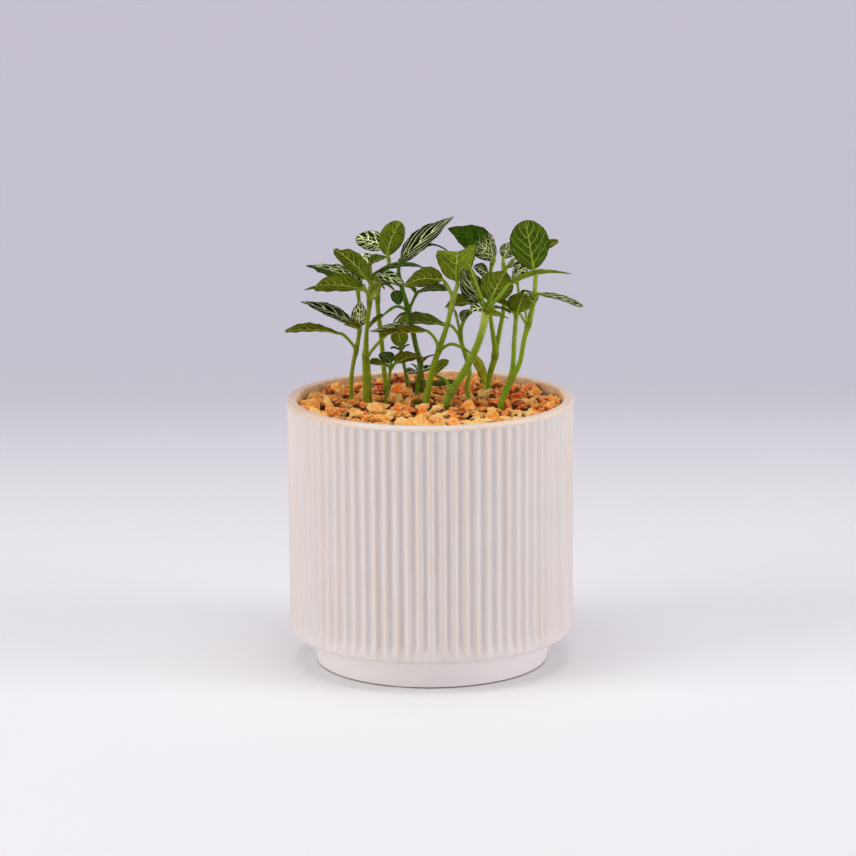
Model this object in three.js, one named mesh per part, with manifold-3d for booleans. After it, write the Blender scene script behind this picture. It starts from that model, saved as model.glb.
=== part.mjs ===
// A potted nerve plant: a ribbed glazed pot filled with soil, a top dressing of stone chips, and leafy
// stems that come up through both. Millimetres, +Z up, the front of the plant towards -Y. The origin is
// the middle of the pot's underside.

import * as THREE from "three";
import { mergeVertices } from "three/addons/utils/BufferGeometryUtils.js";
import Module from "manifold-3d";

const wasm = await Module();
wasm.setup();

// Driving dimensions of the pot
const POT_RADIUS = 60; // over the crests of the ribs
const POT_HEIGHT = 112.7;
const WALL = 4;
const FLOOR = 6;
const FOOT_RADIUS = 48.8; // where the foot stands
const FOOT_TOP_RADIUS = 51.5;
const FOOT_HEIGHT = 12.8;
const RIB_COUNT = 80;
const RIB_DEPTH = 1.1;
const RIB_TOP = POT_HEIGHT - 2.1; // the ribs stop below a plain lip
const RIB_INSET = 2; // how far the ribbed wall draws in at its lower edge,
const RIB_ROUNDING = 2.2; // over this height
const LIP_PROUD = 0.2;
const LIP_CHAMFER = 1; // at the top of the lip, inside and out
const SHOULDER_LOW = 15; // inside, the wall widens between these heights, above the foot
const SHOULDER_HIGH = 22;
const ROUND_SIDES = 48;

// What fills the pot
const GAP = 0.3; // between a piece and its neighbour
const SOIL_TOP = 99;
const BED_TOP = 105.2; // the packed lower layer of the chips
const CHIP_LEVEL = 105.8; // middle of the chips that show, away from the wall
const CHIP_COUNT = 72;
const CHIP_LENGTH = 8.8;
const CHIP_WIDTH = 6.6;
const CHIP_THICKNESS = 5;
const CHIP_TILT = 0.3; // radians, either way
const CHIP_SCATTER = 0.6; // up and down
const WALL_TO_CHIP = 3; // from the wall to the middle of the outermost chip
const BANK_START = 40; // from this far out the chips rise towards the wall,
const BANK_RISE = 3.6; // by this much at the back,
const BANK_AT_SIDES = 0.7; // by this share of it at the sides, and by less at the front,
const BED_RISE = 2.4; // and the packed layer under them rises by this much all round
const HEAP = { x: -14, y: 40, height: 2.4, reach: 6.7 }; // a low heap of chips at the back
const ROOT_DEPTH = 22; // how far a stem runs down below the top of the chips
const ROOT_TAPER = 0.8; // its radius there, as a share of that at the chips

// Leaves
const BLADE_THICKNESS = 0.7;
const BROAD_LEAF = 11; // a leaf at least this wide is divided more finely
const SMALL_LEAF = 6.6; // and one narrower than this less finely
const PETIOLE_RADIUS = 0.65;
const PETIOLE_REACH = 0.2; // the share of the midrib that a stalk runs on into
const NARROWEST = 0.4; // least half width of a blade, at its ends
const WIDEST_SHIFT = 0.8; // under 1 puts the widest place nearer the base, over 1 nearer the tip
const OUTLINE_FULLNESS = 0.8; // under 1 makes the outline rounder

// Finishes
const MATERIALS = {
  glaze: { color: 0xd6cac6, roughness: 0.45, metalness: 0 },
  soil: { color: 0x3a2a1c, roughness: 1, metalness: 0 },
  chips: { color: 0xc98248, roughness: 0.85, metalness: 0 },
  foliage: { color: 0x3f6a22, roughness: 0.55, metalness: 0 },
};

// The plant. A cane is rooted in the soil, a shoot grows from a cane: both are points [x, y, z, radius]
// from the bottom up. A leaf has the point its stalk grows from (with bow, a point the stalk bends
// over), the ends of its blade, its full width, the direction its upper side looks in, how far its
// midrib arches (a share of its length) or the point via that it passes, and the angle at which its
// halves fold up. widest and full take the place of the usual outline where a leaf has one of its own.
const LEAFY_STEMS = [
  {
    name: "leafy_stem_1",
    canes: [
      [[-33.5, 18, 107, 0.9], [-33.5, 18, 115.5, 0.85], [-32.5, 17, 123.5, 0.85], [-31, 16, 130, 0.95],
        [-29.5, 15, 139, 0.8], [-29.5, 14.5, 148, 0.8], [-30, 9, 157, 0.75]],
    ],
    leaves: [
      { root: [-31, 16, 129.5], bow: [-33, 14.5, 133], base: [-37, 12, 137.5], tip: [-60.5, 4, 140.5],
        width: 10.5, widest: 1.9, full: 0.75, face: [0, 0.55, 0.8], arch: 0.06, fold: 8 },
      { root: [-29.5, 14.5, 139], base: [-32.5, 15, 141], tip: [-54.5, 20, 150], width: 9.5,
        face: [0.25, -0.4, 0.9], arch: 0.05, fold: 10 },
      { root: [-29.5, 14.5, 138.5], base: [-29.8, 12, 140.5], tip: [-29.2, 11.5, 151.5], width: 7,
        face: [0, -1, 0.1], arch: 0.06, fold: 8 },
      { root: [-29.5, 14, 138.5], base: [-29.5, 11.5, 139.5], tip: [-36, 5.5, 142.5], width: 4.5,
        face: [-0.3, 0.5, 0.8], arch: 0.12, fold: 15 },
      { root: [-30, 9.5, 156], base: [-28.5, 6, 158], tip: [-47, -4, 161], width: 13.5, widest: 1.35,
        full: 0.36, face: [0, 0.75, 0.65], arch: 0.06, fold: 8 },
    ],
  },
  {
    name: "leafy_stem_2",
    canes: [
      [[-27, 8, 107, 1.45], [-27, 8, 118.5, 1.35], [-27, 8, 128, 1.4], [-26.5, 8, 138.5, 0.9],
        [-25, 8, 152.5, 0.95], [-24.5, 8, 161, 0.85], [-25, 8, 168, 0.75]],
      [[-23.7, 11.5, 107, 0.7], [-24.2, 11, 118, 0.7], [-26, 9, 128, 0.7]],
    ],
    shoots: [
      [[-25.2, 8, 151, 0.85], [-26, 9.5, 155, 0.75], [-28, 12, 158.5, 0.6]],
      [[-24.9, 8, 152, 0.85], [-23, 7.5, 156.5, 0.75], [-22, 7.5, 161.5, 0.7]],
    ],
    leaves: [
      { root: [-27.5, 11.5, 158], base: [-28.5, 12, 158.5], tip: [-52, 22, 165], width: 17,
        face: [0.2, -0.2, 1], arch: 0.06, fold: 4 },
      { root: [-24.5, 8, 160], base: [-26, 5, 162], tip: [-39.5, -6, 176.5], width: 9.5, full: 0.6,
        face: [-0.1, 0.75, 0.65], arch: 0.11, fold: 10 },
      { root: [-25, 8, 166.5], base: [-25, 9.5, 168], tip: [-29.5, 14, 170.5], width: 6.5,
        face: [-0.1, -0.5, 0.85], arch: 0.1, fold: 12 },
      { root: [-25, 8, 167.5], base: [-24.5, 6.5, 168.5], tip: [-17.5, 2, 172], width: 7,
        face: [0.1, 0.5, 0.85], arch: 0.05, fold: 18 },
      { root: [-24.5, 8, 162], base: [-22.5, 8.5, 164], tip: [-2, 4, 166.5], width: 7.5, face: [0, -0.2, 1],
        arch: 0.17, fold: -14 },
      { root: [-22, 7.5, 160.5], base: [-22.5, 6, 163], tip: [-10.5, -3, 160.5], width: 6.8, full: 0.5,
        face: [-0.2, -0.55, 0.8], arch: 0.14, fold: 6 },
      { root: [-23, 7.5, 157], base: [-24.5, 5.5, 161.5], tip: [-19, -2, 159], width: 6.5,
        face: [0.4, 0.5, 0.7], arch: 0.1, fold: 12 },
      { root: [-22, 7.5, 158.5], bow: [-18, 5, 160], base: [-14.5, 2, 157.5], tip: [-12.5, 0, 152],
        width: 5.5, full: 0.55, face: [0.2, -1, 0.1], arch: 0.1, fold: 12 },
      { root: [-26, 6.5, 129], bow: [-22.5, 4, 134], base: [-19.5, 1.5, 137.5], tip: [-13.5, -8, 142],
        width: 7, face: [-0.3, 0.6, 0.7], arch: 0.06, fold: 20 },
    ],
  },
  {
    name: "leafy_stem_3",
    canes: [
      [[-19, 12, 107, 0.65], [-17.5, 12, 115.5, 0.6], [-16.5, 12, 124, 0.55]],
    ],
    leaves: [
      { root: [-16.5, 12, 122.5], base: [-14.5, 11, 125], tip: [-2.5, 0.5, 129.5], width: 9.5,
        face: [0, 0.65, 0.75], arch: 0.1, fold: 8 },
      { root: [-16.5, 12, 123], base: [-16.5, 13, 124.5], tip: [-21, 18, 128], width: 7,
        face: [0.1, -0.5, 0.85], arch: 0.14, fold: 10 },
      { root: [-16.5, 12, 122.5], base: [-18, 14, 123.5], tip: [-26, 20, 123], width: 8,
        face: [0, 0.65, 0.75], arch: 0.08, fold: 8 },
    ],
  },
  {
    name: "leafy_stem_4",
    canes: [
      [[-19, 36, 107, 1], [-20, 34, 122, 1], [-21, 31, 135.5, 0.95], [-22, 28, 147.5, 0.95],
        [-21, 26, 156, 0.85], [-17.5, 24, 164, 0.8], [-17, 23, 168.5, 0.7]],
    ],
    leaves: [
      { root: [-17, 23, 167], base: [-17.5, 22, 169], tip: [-12, 19, 184], width: 10.5, face: [0, 1, 0.15],
        via: [-16, 20.5, 176], fold: 12 },
      { root: [-17, 24, 167], base: [-18.5, 27, 172.5], tip: [-31, 33, 175], width: 9.6, full: 0.5,
        face: [-0.2, -0.75, 0.6], arch: 0.06, fold: 6 },
      { root: [-22, 28, 149], base: [-28.5, 25.5, 154], tip: [-52.5, 14, 156], width: 5, widest: 2.5,
        full: 0.5, face: [0, 0.5, 0.85], arch: 0.05, fold: 14 },
    ],
  },
  {
    name: "leafy_stem_5",
    canes: [
      [[-4, 42, 107, 1.1], [-4, 41, 118, 1.1], [-6, 38, 127.5, 1.05], [-9, 34, 143, 1.15],
        [-12, 30.5, 155, 0.9], [-13, 28, 162, 0.8], [-12, 27, 167, 0.8]],
    ],
    shoots: [
      [[-9, 34, 143, 0.75], [-7, 31.5, 148, 0.65], [-5, 28, 152.5, 0.6]],
      [[-4.5, 40, 117, 0.5], [-3.5, 38.5, 120, 0.5]],
    ],
    leaves: [
      { root: [-12, 27, 165.5], base: [-11.5, 27.5, 166], tip: [10.5, 32, 184], width: 13, widest: 0.7,
        face: [-0.5, -0.55, 0.7], arch: 0.04, fold: 10 },
      { root: [-12, 27.5, 165.5], base: [-9.5, 31, 166.5], tip: [9, 36, 167.5], width: 8, face: [0, 0.1, 1],
        arch: 0.27, fold: -12 },
      { root: [-9.5, 33.5, 143.5], bow: [-14, 29, 146], base: [-19.5, 22.5, 143.5],
        tip: [-27.5, 15.5, 136.5], width: 7, face: [-0.35, 0.35, 0.85], arch: 0.06, fold: 24 },
      { root: [-5.5, 28.5, 151.5], base: [-4.5, 26, 153], tip: [8, 19, 154.5], width: 9,
        face: [0, -0.3, 0.95], arch: 0.08, fold: 8 },
      { root: [-3.5, 38.5, 119.5], base: [-2.8, 37.5, 121], tip: [2.5, 33, 124], width: 3.5,
        face: [0, 0, 1], arch: 0.08, fold: 10 },
      { root: [-9, 34, 143], base: [-10.5, 32.5, 142.5], tip: [-15.5, 29, 139], width: 5,
        face: [-0.2, 0.4, 0.85], arch: 0.08, fold: 10 },
      { root: [-5.5, 28.5, 151.5], base: [-6.5, 26, 153.5], tip: [-10, 20, 156], width: 5,
        face: [0, -0.2, 1], arch: 0.06, fold: 10 },
      { root: [-4, 41, 112], base: [0.5, 39, 110.5], tip: [11.5, 33, 112], width: 7, face: [0, -0.3, 1],
        arch: 0.05, fold: -8 },
    ],
  },
  {
    name: "leafy_stem_6",
    canes: [
      [[-2, 10, 107, 1.35], [-0.5, 10, 115.5, 1.3], [1.5, 9, 124, 1.2], [4, 8, 131.5, 1.2],
        [7.5, 7, 142.5, 1], [10, 6, 153.5, 1], [12, 5, 160, 0.75]],
    ],
    shoots: [
      [[10, 6, 153, 0.85], [8.5, 5, 157, 0.75], [6.5, 3.5, 160.5, 0.65]],
    ],
    leaves: [
      { root: [7, 4, 159.5], base: [5.5, 2.5, 162], tip: [-10.5, -6, 161], width: 12.5,
        face: [-0.1, 0.8, 0.6], arch: 0.14, fold: 6 },
      { root: [12, 5, 159.5], base: [11.5, 5, 161], tip: [13, 12.5, 167.5], width: 18, widest: 1, full: 0.5,
        face: [0.25, 0.5, -0.85], via: [12, 6.5, 172.5], fold: -14 },
      { root: [3.7, 7.5, 131.5], bow: [2.2, 5, 136.5], base: [-1.5, 2.5, 140.5], tip: [-25, -6, 142],
        width: 11.5, face: [0, 0.05, 1], arch: 0.1, fold: 34 },
      { root: [4.2, 8, 131], bow: [9, 11, 133], base: [16.5, 11.5, 129.5], tip: [23.2, 6, 114], width: 6.5,
        face: [0.65, 0.7, 0.25], arch: 0.1, fold: 12 },
    ],
  },
  {
    name: "leafy_stem_7",
    canes: [
      [[17.5, 14, 107, 0.95], [15.5, 15.5, 112.5, 0.9], [16.8, 17, 119.5, 0.9], [15.5, 17.5, 126, 1.05],
        [13.5, 18, 132, 0.85], [13, 18, 136.5, 0.85], [14.5, 16.5, 142, 0.7], [17.5, 14.5, 146.5, 0.6]],
    ],
    shoots: [
      [[13, 18, 135.5, 0.7], [12, 19, 140.5, 0.6], [11, 20.5, 145, 0.55]],
    ],
    leaves: [
      { root: [13, 18, 134.5], bow: [9.5, 22, 138.5], base: [7.5, 26, 140], tip: [-14, 46, 138], width: 9.5,
        widest: 0.6, full: 0.6, face: [0.2, 0.5, 0.85], arch: 0.07, fold: 10 },
      { root: [17.5, 14.5, 145.5], base: [15.8, 13.5, 147], tip: [13.5, 11.5, 142.5], width: 4.5,
        face: [-0.4, -0.8, 0.4], arch: 0.1, fold: 15 },
      { root: [17.3, 14.5, 146], base: [19.5, 12, 151], tip: [6.5, 15, 147.5], width: 12.5,
        face: [0, 0.55, 0.8], arch: 0.1, fold: 10 },
      { root: [11, 20.5, 144.5], base: [10.8, 21, 145.5], tip: [7.5, 23, 150.5], width: 4,
        face: [-0.5, -0.6, 0.5], arch: 0.06, fold: 15 },
    ],
  },
  {
    name: "leafy_stem_8",
    canes: [
      [[6.5, 8, 107, 1.5], [10, 7, 115, 1.45], [14, 6, 121.5, 1.45], [18.5, 4, 130.5, 1.45],
        [21.5, 3, 138.5, 1.4], [23.5, 2, 148, 1.35], [24, 1, 152.5, 0.9]],
    ],
    leaves: [
      { root: [23.2, 1, 150], base: [21, 1, 152.5], tip: [13.5, 0, 167], width: 10.5, face: [0, -0.9, 0.4],
        arch: 0.05, fold: 8 },
      { root: [24, 0.5, 151], base: [22.5, -0.5, 153], tip: [16.5, -3.5, 169.5], width: 4.6,
        face: [-0.3, 0.9, 0.3], arch: 0.04, fold: 40 },
      { root: [24, 1, 151], base: [25, 0, 153], tip: [31.5, -5, 166.5], width: 15, face: [0.1, 0.85, 0.5],
        arch: 0.06, fold: 14 },
      { root: [24.3, 0, 150.5], bow: [28, -3.5, 154.5], base: [33, -7, 161.5], tip: [58.5, -14, 166.8],
        width: 7.2, face: [0, 0.35, 0.95], arch: 0.09, fold: 18 },
      { root: [23.6, 0, 148], base: [23.5, -2.5, 148.5], tip: [32.5, -14, 148.5], width: 11,
        face: [0.2, 0.55, 0.8], arch: 0.05, fold: 8 },
      { root: [23.2, 0.5, 149], base: [22, -1.5, 150.3], tip: [17, -7, 150.5], width: 6.5,
        face: [0, -0.6, 0.8], arch: 0.08, fold: 12 },
      { root: [24, 2.5, 149], base: [26.5, 4.5, 150], tip: [34, 10, 146], width: 6.5, face: [0, 0, 1],
        arch: 0.08, fold: 10 },
      { root: [8.4, 7.5, 113], bow: [7, 11.5, 117], base: [1.5, 13.5, 119.5], tip: [8, 16, 125], width: 6.5,
        widest: 1.1, full: 0.5, face: [-0.35, 0.75, 0.5], arch: 0.06, fold: 15 },
    ],
  },
  {
    name: "leafy_stem_9",
    canes: [
      [[25, 36, 107, 1.25], [25.5, 35, 114, 1.25], [28, 33, 124.5, 1.35], [26.8, 31, 135, 0.95],
        [25.5, 28, 145, 0.9], [25.5, 23, 158, 0.85], [26.5, 19, 166.5, 0.75]],
    ],
    shoots: [
      [[28, 33, 123.5, 1], [30, 32, 135, 0.95], [31.5, 31, 144, 0.9], [31.5, 30.5, 157, 0.85],
        [31.5, 31, 165, 0.7]],
      [[31.5, 30.5, 158, 0.7], [33, 31.5, 162, 0.6], [35.5, 32.5, 165, 0.55]],
    ],
    leaves: [
      { root: [26.5, 19, 165.5], base: [27.5, 19.5, 167.5], tip: [8, 25.5, 180], width: 15,
        face: [0.35, -0.7, 0.6], arch: 0.16, fold: 4 },
      { root: [25.7, 24, 156], base: [25, 22, 160], tip: [18.5, 16, 165], width: 7.5,
        face: [0.2, -0.7, 0.6], arch: 0.08, fold: 8 },
      { root: [31.5, 31, 163.5], base: [31.5, 32, 166], tip: [36, 39, 171.5], width: 7,
        face: [0, -0.8, 0.5], arch: 0.06, fold: 8 },
      { root: [31.5, 30.5, 160], base: [33, 29, 163], tip: [43.5, 22, 162.5], width: 7.5,
        face: [0, -0.25, 1], arch: 0.08, fold: 14 },
      { root: [35, 32.3, 164.5], base: [37, 32.7, 166], tip: [55, 34, 173], width: 7.5, widest: 1.3,
        full: 0.4, face: [-0.2, 0.7, 0.7], arch: 0, fold: 8 },
    ],
  },
  {
    name: "leafy_stem_10",
    canes: [
      [[29.5, 2, 107, 1.35], [31, 2, 112.5, 1.35], [34.5, 4, 120, 1.3], [37.5, 3, 126, 1.05],
        [39.5, 2, 136.5, 1], [41.5, 2, 144, 1.2], [43.5, 3, 153, 0.9], [44.5, 4, 165, 0.9]],
    ],
    shoots: [
      [[34, 4, 119.5, 1.15], [35, 6, 126, 1], [35.5, 9, 134, 0.95], [36.5, 11, 146, 0.9]],
      [[41.5, 2, 143, 0.7], [40.3, 1, 146, 0.55], [40, 0, 149.5, 0.5]],
      [[41, 2, 142.5, 0.6], [39.3, 3, 144.5, 0.5], [38, 4.3, 147, 0.5]],
      [[36.5, 11, 145, 0.65], [37.5, 12.5, 150, 0.55], [37.5, 14, 154.5, 0.5], [37, 16, 159, 0.5]],
    ],
    leaves: [
      { root: [44.5, 4, 164], base: [43.5, 3.5, 166], tip: [40, -2, 187.5], width: 16.5, widest: 1.05,
        full: 0.5, face: [0, 0.97, 0.25], arch: 0.03, fold: 5 },
      { root: [43.9, 3.2, 155], base: [46.5, 1, 156], tip: [63, -14, 153], width: 6, widest: 1, full: 0.28,
        face: [0.1, 0, 1], arch: 0.01, fold: 50 },
      { root: [43.4, 3, 152], base: [42.5, 1, 153.5], tip: [39, -5, 157], width: 5, face: [0, -0.6, 0.8],
        arch: 0.1, fold: 14 },
      { root: [36.4, 10.5, 145], base: [36.5, 8.5, 147], tip: [39.5, 4.5, 155.5], width: 10.5, full: 0.6,
        face: [0, 0.95, 0.35], arch: 0.06, fold: 12 },
      { root: [36.5, 11, 145], base: [39, 11.5, 147.5], tip: [46, 16, 154], width: 6.5,
        face: [0.1, -0.6, 0.8], arch: 0.1, fold: 10 },
      { root: [36.5, 11, 145], base: [35, 12.5, 146.5], tip: [27, 16, 150.5], width: 9,
        face: [0, 0.5, 0.85], arch: 0.1, fold: 12 },
      { root: [37.6, 13.5, 153.5], base: [38.5, 12, 154.5], tip: [43, 8, 155.5], width: 3.6,
        face: [0, 0.5, 0.85], arch: 0.05, fold: 18 },
      { root: [37, 16, 158], base: [35, 14, 161], tip: [41.5, 10, 165], width: 6.5, face: [0, -0.8, 0.5],
        arch: 0.08, fold: 10 },
    ],
  },
  {
    name: "leafy_stem_11",
    canes: [
      [[-9, 38, 107, 0.75], [-11, 37, 118.5, 0.7], [-12.5, 35, 127, 0.7]],
    ],
    leaves: [
      { root: [-12.3, 35, 126], base: [-12.5, 34, 127.5], tip: [-13.5, 32, 137], width: 7.8,
        face: [0, 0.95, 0.2], arch: 0.04, fold: 14 },
      { root: [-12.5, 35, 126], base: [-13.4, 34.5, 126.8], tip: [-17, 33, 127], width: 3.8,
        face: [0, 0, 1], arch: 0.08, fold: 12 },
      { root: [-12.5, 35, 126], base: [-11.6, 34.7, 126.8], tip: [-8.5, 33.5, 128.5], width: 3.8,
        face: [0, 0, 1], arch: 0.08, fold: 12 },
    ],
  },
  {
    name: "leafy_stem_12",
    canes: [
      [[-6, 22, 107, 0.85], [-5.2, 21, 113, 0.8], [-4.5, 20, 119, 0.7]],
    ],
    leaves: [
      { root: [-4.5, 20, 117.5], base: [-5, 19, 119.3], tip: [-10, 13, 120], width: 6.5,
        face: [0, -0.45, 0.9], arch: 0.08, fold: 10 },
      { root: [-4.5, 20, 118], base: [-4.8, 21, 119.5], tip: [-8, 25, 122], width: 3.6, face: [0, 0.4, 0.9],
        arch: 0.06, fold: 14 },
      { root: [-4.5, 20, 118], base: [-3.8, 20.5, 119.4], tip: [2.5, 24, 120.5], width: 4.8,
        face: [0, -0.35, 0.9], arch: 0.08, fold: 10 },
    ],
  },
];

const vec = (p) => new THREE.Vector3(p[0], p[1], p[2]);

// Random numbers from 0 to 1, the same on every run
function randomFrom(seed) {
  let state = seed;
  return () => {
    state = (state + 0x6d2b79f5) | 0;
    let t = Math.imul(state ^ (state >>> 15), 1 | state);
    t = (t + Math.imul(t ^ (t >>> 7), 61 | t)) ^ t;
    return ((t ^ (t >>> 14)) >>> 0) / 4294967296;
  };
}

// A closed geometry from corner points and the triangles that join them
function geometryOf(points, triangles) {
  const geometry = new THREE.BufferGeometry();
  const places = points.flatMap((p) => [p.x, p.y, p.z]);
  geometry.setAttribute("position", new THREE.Float32BufferAttribute(places, 3));
  geometry.setIndex(triangles.flat());
  return geometry;
}

function solidOf(geometry) {
  geometry.deleteAttribute("normal");
  geometry.deleteAttribute("uv");
  const merged = mergeVertices(geometry, 1e-4);
  const corners = [];
  const index = merged.index.array;
  for (let i = 0; i < index.length; i += 3) {
    const [a, b, c] = [index[i], index[i + 1], index[i + 2]];
    if (a !== b && b !== c && a !== c) corners.push(a, b, c);
  }
  return new wasm.Manifold(new wasm.Mesh({
    numProp: 3,
    vertProperties: new Float32Array(merged.attributes.position.array),
    triVerts: new Uint32Array(corners),
  }));
}

// The one body that a join leaves: loose scraps go, and sealed hollows with them
function oneBody(solid) {
  const bodies = solid.decompose();
  return bodies.reduce((best, body) => (body.volume() > best.volume() ? body : best));
}

function meshOf(name, solid, finish) {
  const { vertProperties, triVerts } = solid.getMesh();
  const geometry = new THREE.BufferGeometry();
  geometry.setAttribute("position", new THREE.Float32BufferAttribute(vertProperties, 3));
  geometry.setIndex(new THREE.Uint32BufferAttribute(triVerts, 1));
  geometry.computeVertexNormals();
  const mesh = new THREE.Mesh(geometry, new THREE.MeshStandardMaterial(MATERIALS[finish]));
  mesh.name = name;
  return mesh;
}

// A solid of revolution about Z from a profile [radius, height] that starts and ends on the axis,
// listed from the bottom up
function turned(profile, sides = ROUND_SIDES) {
  const lathe = new THREE.LatheGeometry(profile.map(([r, z]) => new THREE.Vector2(r, z)), sides);
  lathe.rotateX(Math.PI / 2);
  return solidOf(lathe);
}

// The ribbed wall: rounded crests side by side, the first in the middle of the front, and a lower edge
// that rounds in to the foot
function ribbedWall() {
  const sections = [
    { z: FOOT_HEIGHT, inset: RIB_INSET, depth: 0.3 },
    { z: FOOT_HEIGHT + RIB_ROUNDING, inset: 0, depth: 1 },
    { z: RIB_TOP, inset: 0, depth: 1 },
  ];
  const acrossRib = [
    { turn: -0.22, rise: 1 },
    { turn: 0.22, rise: 1 },
    { turn: 0.5, rise: 0 },
  ];
  const sides = RIB_COUNT * acrossRib.length;
  const points = [];
  for (const { z, inset, depth } of sections) {
    for (let rib = 0; rib < RIB_COUNT; rib++) {
      for (const { turn, rise } of acrossRib) {
        const angle = ((rib + turn) / RIB_COUNT) * 2 * Math.PI - Math.PI / 2;
        const radius = POT_RADIUS - inset - RIB_DEPTH * depth * (1 - rise);
        points.push(new THREE.Vector3(radius * Math.cos(angle), radius * Math.sin(angle), z));
      }
    }
  }
  const triangles = [];
  for (let row = 0; row < sections.length - 1; row++) {
    for (let i = 0; i < sides; i++) {
      const a = row * sides + i;
      const b = row * sides + ((i + 1) % sides);
      triangles.push([a, b, b + sides], [a, b + sides, a + sides]);
    }
  }
  const bottom = points.push(new THREE.Vector3(0, 0, FOOT_HEIGHT)) - 1;
  const top = points.push(new THREE.Vector3(0, 0, RIB_TOP)) - 1;
  const topRow = (sections.length - 1) * sides;
  for (let i = 0; i < sides; i++) {
    const next = (i + 1) % sides;
    triangles.push([bottom, next, i], [top, topRow + i, topRow + next]);
  }
  return solidOf(geometryOf(points, triangles));
}

const INNER_RADIUS = POT_RADIUS - WALL;

// The space inside the pot; shrink draws it in all round, for what fills it
function potSpace(top, shrink) {
  const inFoot = FOOT_RADIUS - WALL - shrink;
  const inWall = INNER_RADIUS - shrink;
  return [
    [0, FLOOR + shrink], [inFoot, FLOOR + shrink], [inFoot, SHOULDER_LOW + shrink],
    [inWall, SHOULDER_HIGH + shrink], [inWall, top], [0, top],
  ];
}

function pot() {
  const foot = turned([
    [0, 0], [FOOT_RADIUS, 0], [FOOT_TOP_RADIUS, FOOT_HEIGHT + 1], [0, FOOT_HEIGHT + 1],
  ]);
  const lipRadius = POT_RADIUS + LIP_PROUD;
  const lip = turned([
    [0, RIB_TOP - 1], [POT_RADIUS - 1.5 * RIB_DEPTH, RIB_TOP - 1], [lipRadius, RIB_TOP],
    [lipRadius, POT_HEIGHT - LIP_CHAMFER], [lipRadius - LIP_CHAMFER, POT_HEIGHT], [0, POT_HEIGHT],
  ]);
  const mouth = INNER_RADIUS + LIP_CHAMFER;
  const space = turned([
    ...potSpace(POT_HEIGHT - LIP_CHAMFER, 0).slice(0, -1),
    [mouth, POT_HEIGHT], [mouth, POT_HEIGHT + 1], [0, POT_HEIGHT + 1],
  ]);
  return oneBody(foot.add(ribbedWall()).add(lip).subtract(space));
}

// A closed round bar through points, each with its radius
function bar(points, radii, sides) {
  const corners = [];
  const count = points.length;
  const normal = new THREE.Vector3(0.3, 1, 0.1);
  points.forEach((point, i) => {
    const tangent = points[Math.min(i + 1, count - 1)].clone().sub(points[Math.max(i - 1, 0)]).normalize();
    normal.addScaledVector(tangent, -normal.dot(tangent)).normalize();
    const across = tangent.clone().cross(normal);
    for (let k = 0; k < sides; k++) {
      const turn = (k / sides) * 2 * Math.PI;
      corners.push(point.clone()
        .addScaledVector(normal, radii[i] * Math.cos(turn))
        .addScaledVector(across, radii[i] * Math.sin(turn)));
    }
  });
  const triangles = [];
  for (let i = 0; i < count - 1; i++) {
    for (let k = 0; k < sides; k++) {
      const a = i * sides + k;
      const b = i * sides + ((k + 1) % sides);
      triangles.push([a, b, b + sides], [a, b + sides, a + sides]);
    }
  }
  const first = corners.push(points[0].clone()) - 1;
  const last = corners.push(points[count - 1].clone()) - 1;
  const lastRing = (count - 1) * sides;
  for (let k = 0; k < sides; k++) {
    const next = (k + 1) % sides;
    triangles.push([first, next, k], [last, lastRing + k, lastRing + next]);
  }
  return solidOf(geometryOf(corners, triangles));
}

// A cane or shoot, smoothed through its points; a rooted one goes straight down into the soil first
function stemBar(path, { rooted = false, extra = 0, sides = 6 } = {}) {
  const line = path.map((p) => [...p]);
  if (rooted) {
    const [x, y, z, radius] = line[0];
    line.unshift([x, y, (z + SOIL_TOP) / 2, radius]);
    line.unshift([x, y, z - ROOT_DEPTH - extra, radius * ROOT_TAPER]);
  }
  const curve = new THREE.CatmullRomCurve3(line.map(vec), false, "centripetal");
  const points = [];
  const radii = [];
  const spans = line.length - 1;
  line.forEach(([, , , radius], i) => {
    points.push(curve.getPoint(i / spans));
    radii.push(radius + extra);
  });
  return bar(points, radii, sides);
}

// The midrib of a leaf, as a curve from the stalk to the tip
function midrib({ base, tip, face, arch = 0, via }) {
  const [start, end] = [vec(base), vec(tip)];
  const chord = end.clone().sub(start);
  const middle = start.clone().add(end).multiplyScalar(0.5);
  let top = via && vec(via);
  if (!top) {
    const up = vec(face).projectOnPlane(chord.clone().normalize()).normalize();
    top = middle.clone().addScaledVector(up, arch * chord.length());
  }
  const control = top.multiplyScalar(2).sub(middle);
  return new THREE.QuadraticBezierCurve3(start, control, end);
}

// The point of a leaf's middle surface a share s along the midrib and u across, from -1 to 1
function bladePoint(leaf, rib, s, u) {
  const tangent = rib.getTangent(s);
  const up = vec(leaf.face).projectOnPlane(tangent).normalize();
  const side = tangent.clone().cross(up);
  const { widest = WIDEST_SHIFT, full = OUTLINE_FULLNESS } = leaf;
  const outline = Math.sin(Math.PI * s ** widest) ** full;
  const half = Math.max((leaf.width / 2) * (outline || 0), NARROWEST);
  const fold = THREE.MathUtils.degToRad(leaf.fold);
  return rib.getPoint(s)
    .addScaledVector(side, u * half * Math.cos(fold))
    .addScaledVector(up, Math.abs(u) * half * Math.sin(fold) * Math.sin(Math.PI * (0.15 + 0.85 * s)) ** 0.5);
}

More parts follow.
